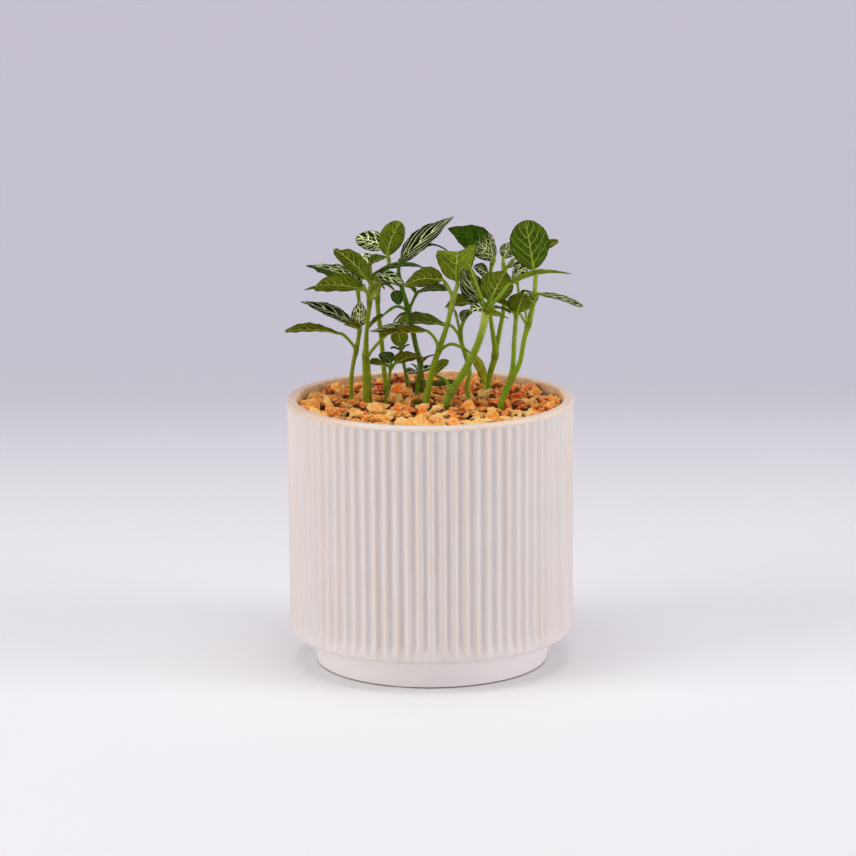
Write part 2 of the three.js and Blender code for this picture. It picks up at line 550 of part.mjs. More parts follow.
// One blade: a grid of points on its middle surface, thickened to both sides, with the same split into
// triangles above and below
function blade(leaf) {
  const rib = midrib(leaf);
  const broad = leaf.width >= BROAD_LEAF;
  const rows = broad ? 6 : leaf.width < SMALL_LEAF ? 3 : 4;
  const columns = broad ? [-1, -0.5, 0, 0.5, 1] : [-1, 0, 1];
  const across = columns.length;
  const upper = [];
  const lower = [];
  for (let i = 0; i <= rows; i++) {
    const s = THREE.MathUtils.lerp(0.015, 0.985, i / rows);
    for (const u of columns) {
      const along = bladePoint(leaf, rib, s + 0.01, u).sub(bladePoint(leaf, rib, s - 0.01, u));
      const sideways = bladePoint(leaf, rib, s, u + 0.1).sub(bladePoint(leaf, rib, s, u - 0.1));
      const normal = sideways.cross(along).normalize();
      const point = bladePoint(leaf, rib, s, u);
      upper.push(point.clone().addScaledVector(normal, BLADE_THICKNESS / 2));
      lower.push(point.clone().addScaledVector(normal, -BLADE_THICKNESS / 2));
    }
  }
  const under = upper.length;
  const triangles = [];
  for (let i = 0; i < rows; i++) {
    for (let j = 0; j < across - 1; j++) {
      const a = i * across + j;
      const [b, c, d] = [a + 1, a + across + 1, a + across];
      const halves = j < (across - 1) / 2 ? [[a, b, c], [a, c, d]] : [[a, b, d], [b, c, d]];
      for (const [p, q, r] of halves) triangles.push([p, q, r], [under + p, under + r, under + q]);
    }
  }
  const rim = [];
  for (let j = 0; j < across - 1; j++) rim.push(j);
  for (let i = 0; i < rows; i++) rim.push(i * across + across - 1);
  for (let j = across - 1; j > 0; j--) rim.push(rows * across + j);
  for (let i = rows; i > 0; i--) rim.push(i * across);
  rim.forEach((a, i) => {
    const b = rim[(i + 1) % rim.length];
    triangles.push([a, under + b, b], [a, under + a, under + b]);
  });
  return solidOf(geometryOf([...upper, ...lower], triangles));
}

// The stalk of a leaf, which runs on into its midrib
function petiole(leaf) {
  const rib = midrib(leaf);
  const slender = Math.min(PETIOLE_RADIUS, leaf.width / 10 + 0.1);
  const stalk = [vec(leaf.root), ...(leaf.bow ? [vec(leaf.bow)] : []), rib.getPoint(0)];
  const curve = new THREE.CatmullRomCurve3(stalk, false, "centripetal");
  const points = [...curve.getPoints(leaf.bow ? 3 : 1), rib.getPoint(PETIOLE_REACH)];
  const radii = points.map((_, i) => (i < points.length - 1 ? slender : slender * 0.5));
  return bar(points, radii, 3);
}

function leafyStem({ canes, shoots = [], leaves }) {
  const pieces = [
    ...canes.map((path) => stemBar(path, { rooted: true })),
    ...shoots.map((path) => stemBar(path, { sides: 5 })),
    ...leaves.flatMap((leaf) => [petiole(leaf), blade(leaf)]),
  ];
  return oneBody(pieces.reduce((whole, piece) => whole.add(piece)));
}

// The holes that the canes stand in
function rootHoles() {
  return LEAFY_STEMS.flatMap(({ canes }) => canes)
    .map((path) => stemBar(path.slice(0, 2), { rooted: true, extra: GAP }))
    .reduce((whole, hole) => whole.add(hole));
}

function pottingSoil(holes) {
  return oneBody(turned(potSpace(SOIL_TOP, GAP)).subtract(holes));
}

// One stone chip: a slab with every corner knocked about
function chip(random, place) {
  const shape = new THREE.BoxGeometry(1, 1, 1);
  shape.deleteAttribute("normal");
  shape.deleteAttribute("uv");
  const slab = mergeVertices(shape, 1e-4);
  const corner = slab.attributes.position;
  const size = 0.8 + 0.45 * random();
  for (let i = 0; i < corner.count; i++) {
    corner.setXYZ(
      i,
      corner.getX(i) * CHIP_LENGTH * size * (0.7 + 0.5 * random()),
      corner.getY(i) * CHIP_WIDTH * size * (0.7 + 0.5 * random()),
      corner.getZ(i) * CHIP_THICKNESS * (0.8 + 0.5 * random()),
    );
  }
  slab.rotateX((random() - 0.5) * 2 * CHIP_TILT);
  slab.rotateY((random() - 0.5) * 2 * CHIP_TILT);
  slab.rotateZ(random() * 2 * Math.PI);
  slab.translate(place.x, place.y, place.z);
  return solidOf(slab);
}

// How much higher than in the middle the chips lie: towards the wall, most at the back, and in a heap
function bankHeight(x, y) {
  const out = Math.hypot(x, y);
  const behind = BANK_AT_SIDES + ((1 - BANK_AT_SIDES) * y) / Math.max(out, 1);
  const bank = BANK_RISE * behind * THREE.MathUtils.smoothstep(out, BANK_START, INNER_RADIUS);
  return bank + HEAP.height * Math.exp(-((x - HEAP.x) ** 2 + (y - HEAP.y) ** 2) / (2 * HEAP.reach ** 2));
}

// The top dressing: chips laid evenly round the pot in a widening spiral, sunk in a packed layer
function gravel(holes) {
  const random = randomFrom(7);
  const reach = INNER_RADIUS - WALL_TO_CHIP;
  const goldenAngle = Math.PI * (3 - Math.sqrt(5));
  const radius = INNER_RADIUS - GAP;
  let bed = turned([
    [0, SOIL_TOP + GAP], [radius, SOIL_TOP + GAP], [radius, BED_TOP + BED_RISE],
    [BANK_START, BED_TOP], [0, BED_TOP],
  ]);
  for (let k = 0; k < CHIP_COUNT; k++) {
    const out = reach * Math.sqrt((k + 0.5) / CHIP_COUNT);
    const angle = k * goldenAngle + (random() - 0.5) * 0.12;
    const x = out * Math.cos(angle);
    const y = out * Math.sin(angle);
    const scatter = (random() - 0.5) * 2 * CHIP_SCATTER;
    bed = bed.add(chip(random, new THREE.Vector3(x, y, CHIP_LEVEL + scatter + bankHeight(x, y))));
  }
  const inside = turned([[0, SOIL_TOP], [radius, SOIL_TOP], [radius, POT_HEIGHT + 5], [0, POT_HEIGHT + 5]]);
  return oneBody(bed.intersect(inside).subtract(holes));
}

const holes = rootHoles();
const plant = new THREE.Group();
plant.name = "potted_nerve_plant";
plant.add(meshOf("pot", pot(), "glaze"));
plant.add(meshOf("potting_soil", pottingSoil(holes), "soil"));
plant.add(meshOf("gravel", gravel(holes), "chips"));
for (const stem of LEAFY_STEMS) plant.add(meshOf(stem.name, leafyStem(stem), "foliage"));

export default plant;
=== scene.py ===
# A potted nerve plant: a ribbed glazed pot, stone chips over soil, and twelve leafy stems with netted
# leaves. Shapes are worked out in millimetres, as in the frame's own table, and made in metres.

import math

import bmesh
import bpy
import numpy as np
from mathutils import Matrix, Vector, noise


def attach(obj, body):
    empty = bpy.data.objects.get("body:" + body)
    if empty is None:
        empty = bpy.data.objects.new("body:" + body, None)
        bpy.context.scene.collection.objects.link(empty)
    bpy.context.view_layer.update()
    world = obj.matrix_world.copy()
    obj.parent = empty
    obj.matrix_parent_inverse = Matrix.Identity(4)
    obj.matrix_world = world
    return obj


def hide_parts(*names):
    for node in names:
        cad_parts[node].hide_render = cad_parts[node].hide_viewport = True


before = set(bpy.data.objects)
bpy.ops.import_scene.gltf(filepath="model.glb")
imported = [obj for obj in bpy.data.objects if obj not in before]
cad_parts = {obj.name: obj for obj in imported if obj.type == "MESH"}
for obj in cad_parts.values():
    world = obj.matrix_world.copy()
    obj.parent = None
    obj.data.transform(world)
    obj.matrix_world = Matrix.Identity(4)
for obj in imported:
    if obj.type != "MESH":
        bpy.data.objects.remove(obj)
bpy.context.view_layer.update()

MM = 0.001

# Pot
POT_RADIUS = 60.0  # over the crests of the ribs
POT_HEIGHT = 112.7
WALL = 4.0
FLOOR = 6.0
FOOT_RADIUS = 48.8
FOOT_TOP_RADIUS = 51.5
FOOT_HEIGHT = 12.8
FOOT_ROUNDING = 0.5
RIB_COUNT = 80
RIB_DEPTH = 1.0
RIB_SHARPNESS = 1.35  # over 1 makes the crests narrower than the grooves
RIB_TOP = POT_HEIGHT - 2.1
RIB_INSET = 2.0
RIB_ROUNDING = 2.2
RIB_FADE = 6.0  # the grooves die away over this height above the foot
FAINT_GROOVE = 0.12  # what is left of them there, as a share of the full depth
LIP_ROUNDING = 0.8
LIP_CROWN_RADIUS = 58.2
SHOULDER_LOW = 15.0
SHOULDER_HIGH = 22.0
STEPS_PER_RIB = 14

# What fills the pot
GAP = 0.3
SOIL_TOP = 99.0
BED_TOP = 104.2
CHIP_TOP = 107.5  # the canes come out of the chips at about this height
BANK_START = 40.0  # from this far out the chips rise towards the wall,
BANK_RISE = 2.2  # by this much at the back, and by less at the front
LOW_BANK = 0.8  # the share of that rise which the lower chips follow
HEAP = {"x": -14.0, "y": 40.0, "height": 3.4, "reach": 6.0}
ROOT_DEPTH = 22.0
ROOT_TAPER = 0.8

# The tint of a leaf's underside, as a place along the underside's range of colours. The last and palest
# tint is painted light.
BROWN, OLIVE, YELLOW, GREEN, DEEP, LIME_PAINTED_LIGHT = 0.0, 0.2, 0.4, 0.6, 0.8, 1.0

# What a leaf is where the table below says nothing else
USUAL_LEAF = {
    "bow": None,  # a point that its stalk bends over
    "widest": 0.8,  # the higher, the nearer to the tip the blade is widest
    "full": 0.7,  # the lower, the fuller its outline
    "net": 0.8,  # how bright the pale net of its upper side is
    "fade": 0,  # the share of that brightness which is lost towards the tip
    "under": OLIVE,
    "course": 0.36,  # how far its side veins run on towards the tip, as a share of its length
    "point": 0,  # how drawn out its tip is
    "pairs": None,  # of side veins: a narrow leaf has 4 and a wide one 5
    "cell": 1.7,  # the width of the net's meshes
    "torn": False,  # a leaf with a bite out of it near the tip
    "plain_side": 0,  # -1 or 1 for a leaf with no net on that half
}


def leaf(root, base, tip, width, face, bend, fold, **more):
    """A leaf of the plant

    root is where its stalk grows, base and tip are the ends of its blade, width is its full width and face
    the way its upper side looks. bend is the arch of its midrib as a share of its length, or a point that
    the midrib passes halfway. fold is how far its halves are folded up, in degrees.
    """
    given = dict(root=root, base=base, tip=tip, width=width, face=face, bend=bend, fold=fold)
    return {**USUAL_LEAF, **given, **more}


# The leafy stems, from left to right, then two behind. tint is a place along the range of a stem's colours,
# felt how pale its tops are and fuzz how thickly its hairs stand. A cane is rooted and a shoot grows from
# a cane: both are points (x, y, z, radius) from the bottom up.
LEAFY_STEMS = [
    dict(tint=0.35, canes=[
        [(-33.5, 18, 107, 0.9), (-33.5, 18, 115.5, 0.85), (-32.5, 17, 123.5, 0.85), (-31, 16, 130, 0.95),
         (-29.5, 15, 139, 0.8), (-29.5, 14.5, 148, 0.8), (-30, 9, 157, 0.75)],
    ], leaves=[
        leaf((-31, 16, 129.5), (-37, 12, 137.5), (-60.5, 4, 140.5), 10.5, (0, 0.55, 0.8), 0.06, 8,
             bow=(-33, 14.5, 133), widest=1.9, full=0.55),
        leaf((-29.5, 14.5, 139), (-32.5, 15, 141), (-54.5, 20, 150), 9.5, (0.25, -0.4, 0.9), 0.05, 10,
             net=0.85, course=0.4, point=0.9, pairs=3, cell=3.2),
        leaf((-29.5, 14.5, 138.5), (-29.8, 12, 140.5), (-29.2, 11.5, 151.5), 7, (0, -1, 0.1), 0.06, 8,
             net=1, cell=1.3),
        leaf((-29.5, 14, 138.5), (-29.5, 11.5, 139.5), (-36, 5.5, 142.5), 4.5, (-0.3, 0.5, 0.8), 0.12, 15,
             under=BROWN, point=0.5),
        leaf((-30, 9.5, 156), (-28.5, 6, 158), (-47, -4, 161), 13.5, (0, 0.75, 0.65), 0.06, 8, widest=1.35,
             full=0.36),
    ]),
    dict(tint=0.12, fuzz=0.7, felt=0.35, canes=[
        [(-27, 8, 107, 1.45), (-27, 8, 118.5, 1.35), (-27, 8, 128, 1.4), (-26.5, 8, 138.5, 0.9),
         (-25, 8, 152.5, 0.95), (-24.5, 8, 161, 0.85), (-25, 8, 168, 0.75)],
        [(-25.2, 10.2, 107, 0.7), (-25.3, 10, 118, 0.7), (-26.2, 9, 128, 0.7)],
    ], shoots=[
        [(-25.2, 8, 151, 0.85), (-26, 9.5, 155, 0.75), (-28, 12, 158.5, 0.6)],
        [(-24.9, 8, 152, 0.85), (-23, 7.5, 156.5, 0.75), (-22, 7.5, 161.5, 0.7)],
    ], leaves=[
        leaf((-27.5, 11.5, 158), (-28.5, 12, 158.5), (-52, 22, 165), 17, (0.2, -0.2, 1), 0.06, 4, net=0.7,
             under=GREEN, point=0.9, pairs=3, cell=2, plain_side=-1),
        leaf((-24.5, 8, 160), (-26, 5, 162), (-39.5, -6, 176.5), 9.5, (-0.1, 0.75, 0.65), 0.11, 10,
             full=0.6, torn=True),
        leaf((-25, 8, 166.5), (-25, 9.5, 168), (-29.5, 14, 170.5), 6.5, (-0.1, -0.5, 0.85), 0.1, 12,
             net=1),
        leaf((-25, 8, 167.5), (-24.5, 6.5, 168.5), (-17.5, 2, 172), 7, (0.1, 0.5, 0.85), 0.05, 18,
             under=GREEN, point=0.5),
        leaf((-24.5, 8, 162), (-22.5, 8.5, 164), (-2, 4, 166.5), 7.5, (0, -0.2, 1), 0.17, -14, net=0.1,
             under=GREEN, point=0.6),
        leaf((-22, 7.5, 160.5), (-22.5, 6, 163), (-10.5, -3, 160.5), 6.8, (-0.2, -0.55, 0.8), 0.14, 6,
             full=0.5, net=0.55, pairs=3, cell=2),
        leaf((-23, 7.5, 157), (-24.5, 5.5, 161.5), (-19, -2, 159), 6.5, (0.4, 0.5, 0.7), 0.1, 12),
        leaf((-22, 7.5, 158.5), (-14.5, 2, 157.5), (-12.5, 0, 152), 5.5, (0.2, -1, 0.1), 0.1, 12,
             bow=(-18, 5, 160), full=0.55, net=0.05),
        leaf((-26, 6.5, 129), (-19.5, 1.5, 137.5), (-13.5, -8, 142), 7, (-0.3, 0.6, 0.7), 0.06, 20,
             bow=(-22.5, 4, 134), under=0.12, point=0.5),
    ]),
    dict(tint=0.75, canes=[
        [(-19, 12, 107, 0.65), (-17.5, 12, 115.5, 0.6), (-16.5, 12, 124, 0.55)],
    ], leaves=[
        leaf((-16.5, 12, 122.5), (-14.5, 11, 125), (-2.5, 0.5, 129.5), 9.5, (0, 0.65, 0.75), 0.1, 8),
        leaf((-16.5, 12, 123), (-16.5, 13, 124.5), (-21, 18, 128), 7, (0.1, -0.5, 0.85), 0.14, 10,
             net=0.12),
        leaf((-16.5, 12, 122.5), (-18, 14, 123.5), (-26, 20, 123), 8, (0, 0.65, 0.75), 0.08, 8),
    ]),
    dict(tint=0.45, felt=0.6, canes=[
        [(-19, 36, 107, 1), (-20, 34, 122, 1), (-21, 31, 135.5, 0.95), (-22, 28, 147.5, 0.95),
         (-21, 26, 156, 0.85), (-17.5, 24, 164, 0.8), (-17, 23, 168.5, 0.7)],
    ], leaves=[
        leaf((-17, 23, 167), (-17.5, 22, 169), (-12, 19, 184), 10.5, (0, 1, 0.15), (-16, 20.5, 176), 12,
             widest=1.2, full=0.45, under=0.5),
        leaf((-17, 24, 167), (-18.5, 27, 172.5), (-31, 33, 175), 9.6, (-0.2, -0.75, 0.6), 0.06, 6,
             full=0.5, net=1, course=0.3, pairs=3, cell=2.2),
        leaf((-22, 28, 149), (-28.5, 25.5, 154), (-52.5, 14, 156), 5, (0, 0.5, 0.85), 0.05, 14, widest=2.5,
             full=0.5),
    ]),
    dict(tint=0.9, canes=[
        [(-4, 42, 107, 1.1), (-4, 41, 118, 1.1), (-6, 38, 127.5, 1.05), (-9, 34, 143, 1.15),
         (-12, 30.5, 155, 0.9), (-13, 28, 162, 0.8), (-12, 27, 167, 0.8)],
    ], shoots=[
        [(-9, 34, 143, 0.75), (-7, 31.5, 148, 0.65), (-5, 28, 152.5, 0.6)],
        [(-4.5, 40, 117, 0.5), (-3.5, 38.5, 120, 0.5)],
    ], leaves=[
        leaf((-12, 27, 165.5), (-11.5, 27.5, 166), (10.5, 32, 184), 13, (-0.5, -0.55, 0.7), 0.04, 10,
             widest=0.7, net=0.9, course=0.75, point=0.9, pairs=3, cell=2.6),
        leaf((-12, 27.5, 165.5), (-9.5, 31, 166.5), (9, 36, 167.5), 8, (0, 0.1, 1), 0.27, -12, net=0.15,
             point=0.5),
        leaf((-9.5, 33.5, 143.5), (-19.5, 22.5, 143.5), (-27.5, 15.5, 136.5), 7, (-0.35, 0.35, 0.85), 0.06,
             24, bow=(-14, 29, 146)),
        leaf((-5.5, 28.5, 151.5), (-4.5, 26, 153), (8, 19, 154.5), 9, (0, -0.3, 0.95), 0.08, 8, net=0.1),
        leaf((-3.5, 38.5, 119.5), (-2.8, 37.5, 121), (2.5, 33, 124), 3.5, (0, 0, 1), 0.08, 10, net=0.2),
        leaf((-9, 34, 143), (-10.5, 32.5, 142.5), (-15.5, 29, 139), 5, (-0.2, 0.4, 0.85), 0.08, 10),
        leaf((-5.5, 28.5, 151.5), (-6.5, 26, 153.5), (-10, 20, 156), 5, (0, -0.2, 1), 0.06, 10, net=0.2),
        leaf((-4, 41, 112), (0.5, 39, 110.5), (11.5, 33, 112), 7, (0, -0.3, 1), 0.05, -8, net=0.05),
    ]),
    dict(tint=0.45, fuzz=1.2, felt=0.5, canes=[
        [(-2, 10, 107, 1.35), (-0.5, 10, 115.5, 1.3), (1.5, 9, 124, 1.2), (4, 8, 131.5, 1.2),
         (7.5, 7, 142.5, 1), (10, 6, 153.5, 1), (12, 5, 160, 0.75)],
    ], shoots=[
        [(10, 6, 153, 0.85), (8.5, 5, 157, 0.75), (6.5, 3.5, 160.5, 0.65)],
    ], leaves=[
        leaf((7, 4, 159.5), (5.5, 2.5, 162), (-10.5, -6, 161), 12.5, (-0.1, 0.8, 0.6), 0.14, 6),
        leaf((12, 5, 159.5), (11.5, 5, 161), (13, 12.5, 167.5), 18, (0.25, 0.5, -0.85), (12, 6.5, 172.5),
             -14, widest=0.8, full=0.4, under=0.28),
        leaf((3.7, 7.5, 131.5), (-1.5, 2.5, 140.5), (-25, -6, 142), 12.5, (0, 0.05, 1), -0.02, 34,
             bow=(2.2, 5, 136.5), net=1, under=0.14, point=0.4),
        # Its underside has the palest tint, painted light on a leaf that hangs in shade
        leaf((4.2, 8, 131), (16.5, 11.5, 129.5), (23.2, 6, 114), 6.5, (0.65, 0.7, 0.25), 0.1, 12,
             bow=(9, 11, 133), under=LIME_PAINTED_LIGHT, point=0.4),
    ]),
    dict(tint=0.45, canes=[
        [(17.5, 14, 107, 0.95), (15.5, 15.5, 112.5, 0.9), (16.8, 17, 119.5, 0.9), (15.5, 17.5, 126, 1.05),
         (13.5, 18, 132, 0.85), (13, 18, 136.5, 0.85), (14.5, 16.5, 142, 0.7), (17.5, 14.5, 146.5, 0.6)],
    ], shoots=[
        [(13, 18, 135.5, 0.7), (12, 19, 140.5, 0.6), (11, 20.5, 145, 0.55)],
    ], leaves=[
        leaf((13, 18, 134.5), (6, 26, 139), (-13.5, 46, 136), 13, (0.2, 0.6, 0.8), 0.04, 10,
             bow=(9.5, 22, 138.5), widest=0.6, full=0.5, under=0.42),
        leaf((17.5, 14.5, 145.5), (15.8, 13.5, 147), (13.5, 11.5, 142.5), 4.5, (-0.4, -0.8, 0.4), 0.1, 15,
             net=0.35),
        leaf((17.3, 14.5, 146), (19.5, 12, 151), (6.5, 15, 148), 12.5, (0, 0.55, 0.8), 0.07, 10,
             under=0.32, point=0.9),
        leaf((11, 20.5, 144.5), (10.8, 21, 145.5), (7.5, 21, 146.5), 2.6, (-0.5, -0.6, 0.5), 0.06, 15,
             net=0.7),
    ]),
    dict(tint=0.6, fuzz=2.6, felt=0.9, canes=[
        [(6.5, 8, 107, 1.5), (10, 7, 115, 1.45), (14, 6, 121.5, 1.45), (18.5, 4, 130.5, 1.45),
         (21.5, 3, 138.5, 1.4), (23.5, 2, 148, 1.35), (24, 1, 152.5, 0.9)],
    ], leaves=[
        leaf((23.2, 1, 150), (21, 1, 152.5), (13.5, 0, 167), 10.5, (0, -0.9, 0.4), 0.05, 8, net=0.5,
             course=0.8, point=0.5, pairs=3, cell=2.6),
        leaf((24, 0.5, 151), (22.5, -0.5, 153), (16.5, -3.5, 169.5), 4.6, (-0.3, 0.9, 0.3), 0.04, 40,
             under=YELLOW, point=0.6),
        leaf((24, 1, 151), (25, 0, 153), (31.5, -5, 166.5), 15, (0.1, 0.85, 0.5), 0.06, 14, under=0.25),
        leaf((24.3, 0, 150.5), (33, -7, 161.5), (58.5, -14, 166.8), 7.2, (0, 0.35, 0.95), 0.09, 18,
             bow=(28, -3.5, 154.5), under=YELLOW, point=0.8),
        leaf((23.6, 0, 148), (23.5, -2.5, 148.5), (32.5, -14, 148.5), 11, (0.2, 0.55, 0.8), 0.05, 8,
             under=YELLOW, point=0.6),
        leaf((23.2, 0.5, 149), (22, -1.5, 150.3), (17, -7, 150.5), 6.5, (0, -0.6, 0.8), 0.08, 12, net=1,
             pairs=2, cell=2.4),
        leaf((24, 2.5, 149), (26.5, 4.5, 150), (34, 10, 146), 6.5, (0, 0, 1), 0.08, 10, net=0.3),
        leaf((8.4, 7.5, 113), (1.5, 13.5, 119.5), (8, 16, 125), 6.5, (-0.35, 0.75, 0.5), 0.06, 15,
             bow=(7, 11.5, 117), widest=1.1, full=0.5, under=YELLOW),
    ]),
    dict(tint=0.5, felt=0.3, canes=[
        [(25, 36, 107, 1.25), (25.5, 35, 114, 1.25), (28, 33, 124.5, 1.35), (26.8, 31, 135, 0.95),
         (25.5, 28, 145, 0.9), (25.5, 23, 158, 0.85), (26.5, 19, 166.5, 0.75)],
    ], shoots=[
        [(28, 33, 123.5, 1), (30, 32, 135, 0.95), (31.5, 31, 144, 0.9), (31.5, 30.5, 157, 0.85),
         (31.5, 31, 165, 0.7)],
        [(31.5, 30.5, 158, 0.7), (33, 31.5, 162, 0.6), (35.5, 32.5, 165, 0.55)],
    ], leaves=[
        leaf((26.5, 19, 165.5), (27.5, 19.5, 167.5), (8, 25.5, 180), 15, (0.35, -0.7, 0.6), 0.16, 4,
             net=0.65, fade=1, course=0.35, point=0.7),
        leaf((25.7, 24, 156), (25, 22, 160), (18.5, 16, 165), 7.5, (0.2, -0.7, 0.6), 0.08, 8, net=0.8),
        leaf((31.5, 31, 163.5), (31.5, 32, 166), (36, 39, 171.5), 7, (0, -0.8, 0.5), 0.06, 8, net=0.55,
             cell=1.4),
        leaf((31.5, 30.5, 160), (33, 29, 163), (43.5, 22, 162.5), 7.5, (0, -0.25, 1), 0.08, 14, net=0.9,
             pairs=2, cell=2.6),
        leaf((35, 32.3, 164.5), (37, 32.7, 166), (55, 34, 173), 7.5, (-0.2, 0.7, 0.7), 0, 8, widest=1.3,
             full=0.4),
    ]),
    dict(tint=0.55, felt=0.2, canes=[
        [(29.5, 2, 107, 1.35), (31, 2, 112.5, 1.35), (34.5, 4, 120, 1.3), (37.5, 3, 126, 1.05),
         (39.5, 2, 136.5, 1), (41.5, 2, 144, 1.2), (43.5, 3, 153, 0.9), (44.5, 4, 165, 0.9)],
    ], shoots=[
        [(34, 4, 119.5, 1.15), (35, 6, 126, 1), (35.5, 9, 134, 0.95), (36.5, 11, 146, 0.9)],
        [(41.5, 2, 143, 0.7), (40.3, 1, 146, 0.55), (40, 0, 149.5, 0.5)],
        [(41, 2, 142.5, 0.6), (39.3, 3, 144.5, 0.5), (38, 4.3, 147, 0.5)],
        [(36.5, 11, 145, 0.65), (37.5, 12.5, 150, 0.55), (37.5, 14, 154.5, 0.5), (37, 16, 159, 0.5)],
    ], leaves=[
        leaf((44.5, 4, 164), (43.5, 3.5, 166), (40, -2, 187.5), 16.5, (0, 0.97, 0.25), 0.03, 5,
             widest=1.05, full=0.5, under=DEEP, course=0.45, pairs=4),
        leaf((43.9, 3.2, 155), (46.5, 1, 156), (63, -14, 153), 5.2, (0.1, -0.35, 1), 0.01, 24, widest=1,
             full=0.28, net=1),
        leaf((43.4, 3, 152), (42.5, 1, 153.5), (39, -5, 157), 5, (0, -0.6, 0.8), 0.1, 14, net=1),
        leaf((36.4, 10.5, 145), (36.5, 8.5, 147), (39.5, 4.5, 155.5), 10.5, (0, 0.95, 0.35), 0.06, 12,
             full=0.6, under=0.28),
        leaf((36.5, 11, 145), (39, 11.5, 147.5), (46, 16, 154), 6.5, (0.1, -0.6, 0.8), 0.1, 10, net=0.9),
        leaf((36.5, 11, 145), (35, 12.5, 146.5), (27, 16, 150.5), 9, (0, 0.5, 0.85), 0.1, 12, under=0.15),
        leaf((37.6, 13.5, 153.5), (38.5, 12, 154.5), (43, 8, 155.5), 3.6, (0, 0.5, 0.85), 0.05, 18),
        leaf((37, 16, 158), (35, 14, 161), (41.5, 10, 165), 6.5, (0, -0.8, 0.5), 0.08, 10, net=1, pairs=3,
             cell=2.2),
    ]),
    dict(tint=0.8, canes=[
        [(-9, 38, 107, 0.75), (-11, 37, 118.5, 0.7), (-12.5, 35, 127, 0.7)],
    ], leaves=[
        leaf((-12.3, 35, 126), (-12.5, 34, 127.5), (-13.5, 32, 137), 7.8, (0, 0.95, 0.2), 0.04, 14,
             under=YELLOW),
        leaf((-12.5, 35, 126), (-13.4, 34.5, 126.8), (-17, 33, 127), 3.8, (0, 0, 1), 0.08, 12, net=0.2),
        leaf((-12.5, 35, 126), (-11.6, 34.7, 126.8), (-8.5, 33.5, 128.5), 3.8, (0, 0, 1), 0.08, 12,
             net=0.2),
    ]),
    dict(tint=0.75, canes=[
        [(-6, 22, 107, 0.85), (-5.2, 21, 113, 0.8), (-4.5, 20, 119, 0.7)],
    ], leaves=[
        leaf((-4.5, 20, 117.5), (-5, 19, 119.3), (-10, 13, 120), 6.5, (0, -0.45, 0.9), 0.08, 10, net=1,
             pairs=3, cell=2.4),
        leaf((-4.5, 20, 118), (-4.8, 21, 119.5), (-8, 25, 122), 3.6, (0, 0.4, 0.9), 0.06, 14),
        leaf((-4.5, 20, 118), (-3.8, 20.5, 119.4), (2.5, 24, 120.5), 4.8, (0, -0.35, 0.9), 0.08, 10,
             net=0.9, pairs=2, cell=2.4),
    ]),
]


# Meshes

class Parts:
    """Gathers closed parts in millimetres, with their finish and values at their points, in one object"""

    VALUES = ("place", "course", "share", "look")

    def __init__(self):
        self.points = []
        self.faces = []
        self.finishes = []
        self.values = {name: [] for name in self.VALUES}
        self.count = 0

    def add(self, points, faces, finish, **values):
        """Adds a part. A value is three columns, each with one number for all points or one for each."""
        points = np.asarray(points, dtype=float).reshape(-1, 3)
        if volume_of(points, faces) < 0:
            faces = [face[::-1] for face in faces]
        self.points.append(points)
        self.faces.extend(tuple(self.count + i for i in face) for face in faces)
        self.finishes.extend([finish] * len(faces) if isinstance(finish, int) else finish)
        for name, rows in self.values.items():
            columns = values.get(name, (0.0, 0.0, 0.0))
            rows.append(np.column_stack([np.broadcast_to(column, len(points)) for column in columns]))
        self.count += len(points)

    def make(self, name, materials, smooth=True):
        mesh = bpy.data.meshes.new(name)
        mesh.from_pydata((np.vstack(self.points) * MM).tolist(), [], self.faces)
        for material in materials:
            mesh.materials.append(material)
        mesh.polygons.foreach_set("material_index", self.finishes)
        mesh.polygons.foreach_set("use_smooth", [smooth] * len(self.faces))
        for value, rows in self.values.items():
            layer = mesh.attributes.new(value, "FLOAT_VECTOR", "POINT")
            layer.data.foreach_set("vector", np.vstack(rows).astype(np.float32).ravel())
        mesh.update()
        piece = bpy.data.objects.new(name, mesh)
        bpy.context.scene.collection.objects.link(piece)
        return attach(piece, "root")


def volume_of(points, faces):
    """Six times the volume that the faces close, negative where they look inwards"""
    total = 0.0
    for face in faces:
        fan = points[list(face)]
        total += np.einsum("ij,ij->", np.cross(fan[1:-1], fan[2:]), np.broadcast_to(fan[0], fan[2:].shape))
    return total


def rings_to_faces(rings, sides):
    """The faces that join rings of points one to the next, and close the first and the last"""
    faces = []
    for ring in range(rings - 1):
        for k in range(sides):
            a = ring * sides + k
            b = ring * sides + (k + 1) % sides
            faces.append((a, b, b + sides, a + sides))
    faces.append(tuple(range(sides))[::-1])
    faces.append(tuple((rings - 1) * sides + k for k in range(sides)))
    return faces


def unit(vectors):
    return vectors / np.maximum(np.linalg.norm(vectors, axis=-1, keepdims=True), 1e-9)


def smooth_step(low, high, value):
    t = np.clip((value - low) / (high - low), 0, 1)
    return t * t * (3 - 2 * t)


def steps_along(path):
    return np.linalg.norm(np.diff(path, axis=0), axis=1)


def distance_along(path):
    return np.concatenate([[0], np.cumsum(steps_along(path))])


# The knots between which each round of a Catmull-Rom curve blends its points
KNOT_SPANS = (((0, 1), (1, 2), (2, 3)), ((0, 2), (1, 3)), ((1, 2),))


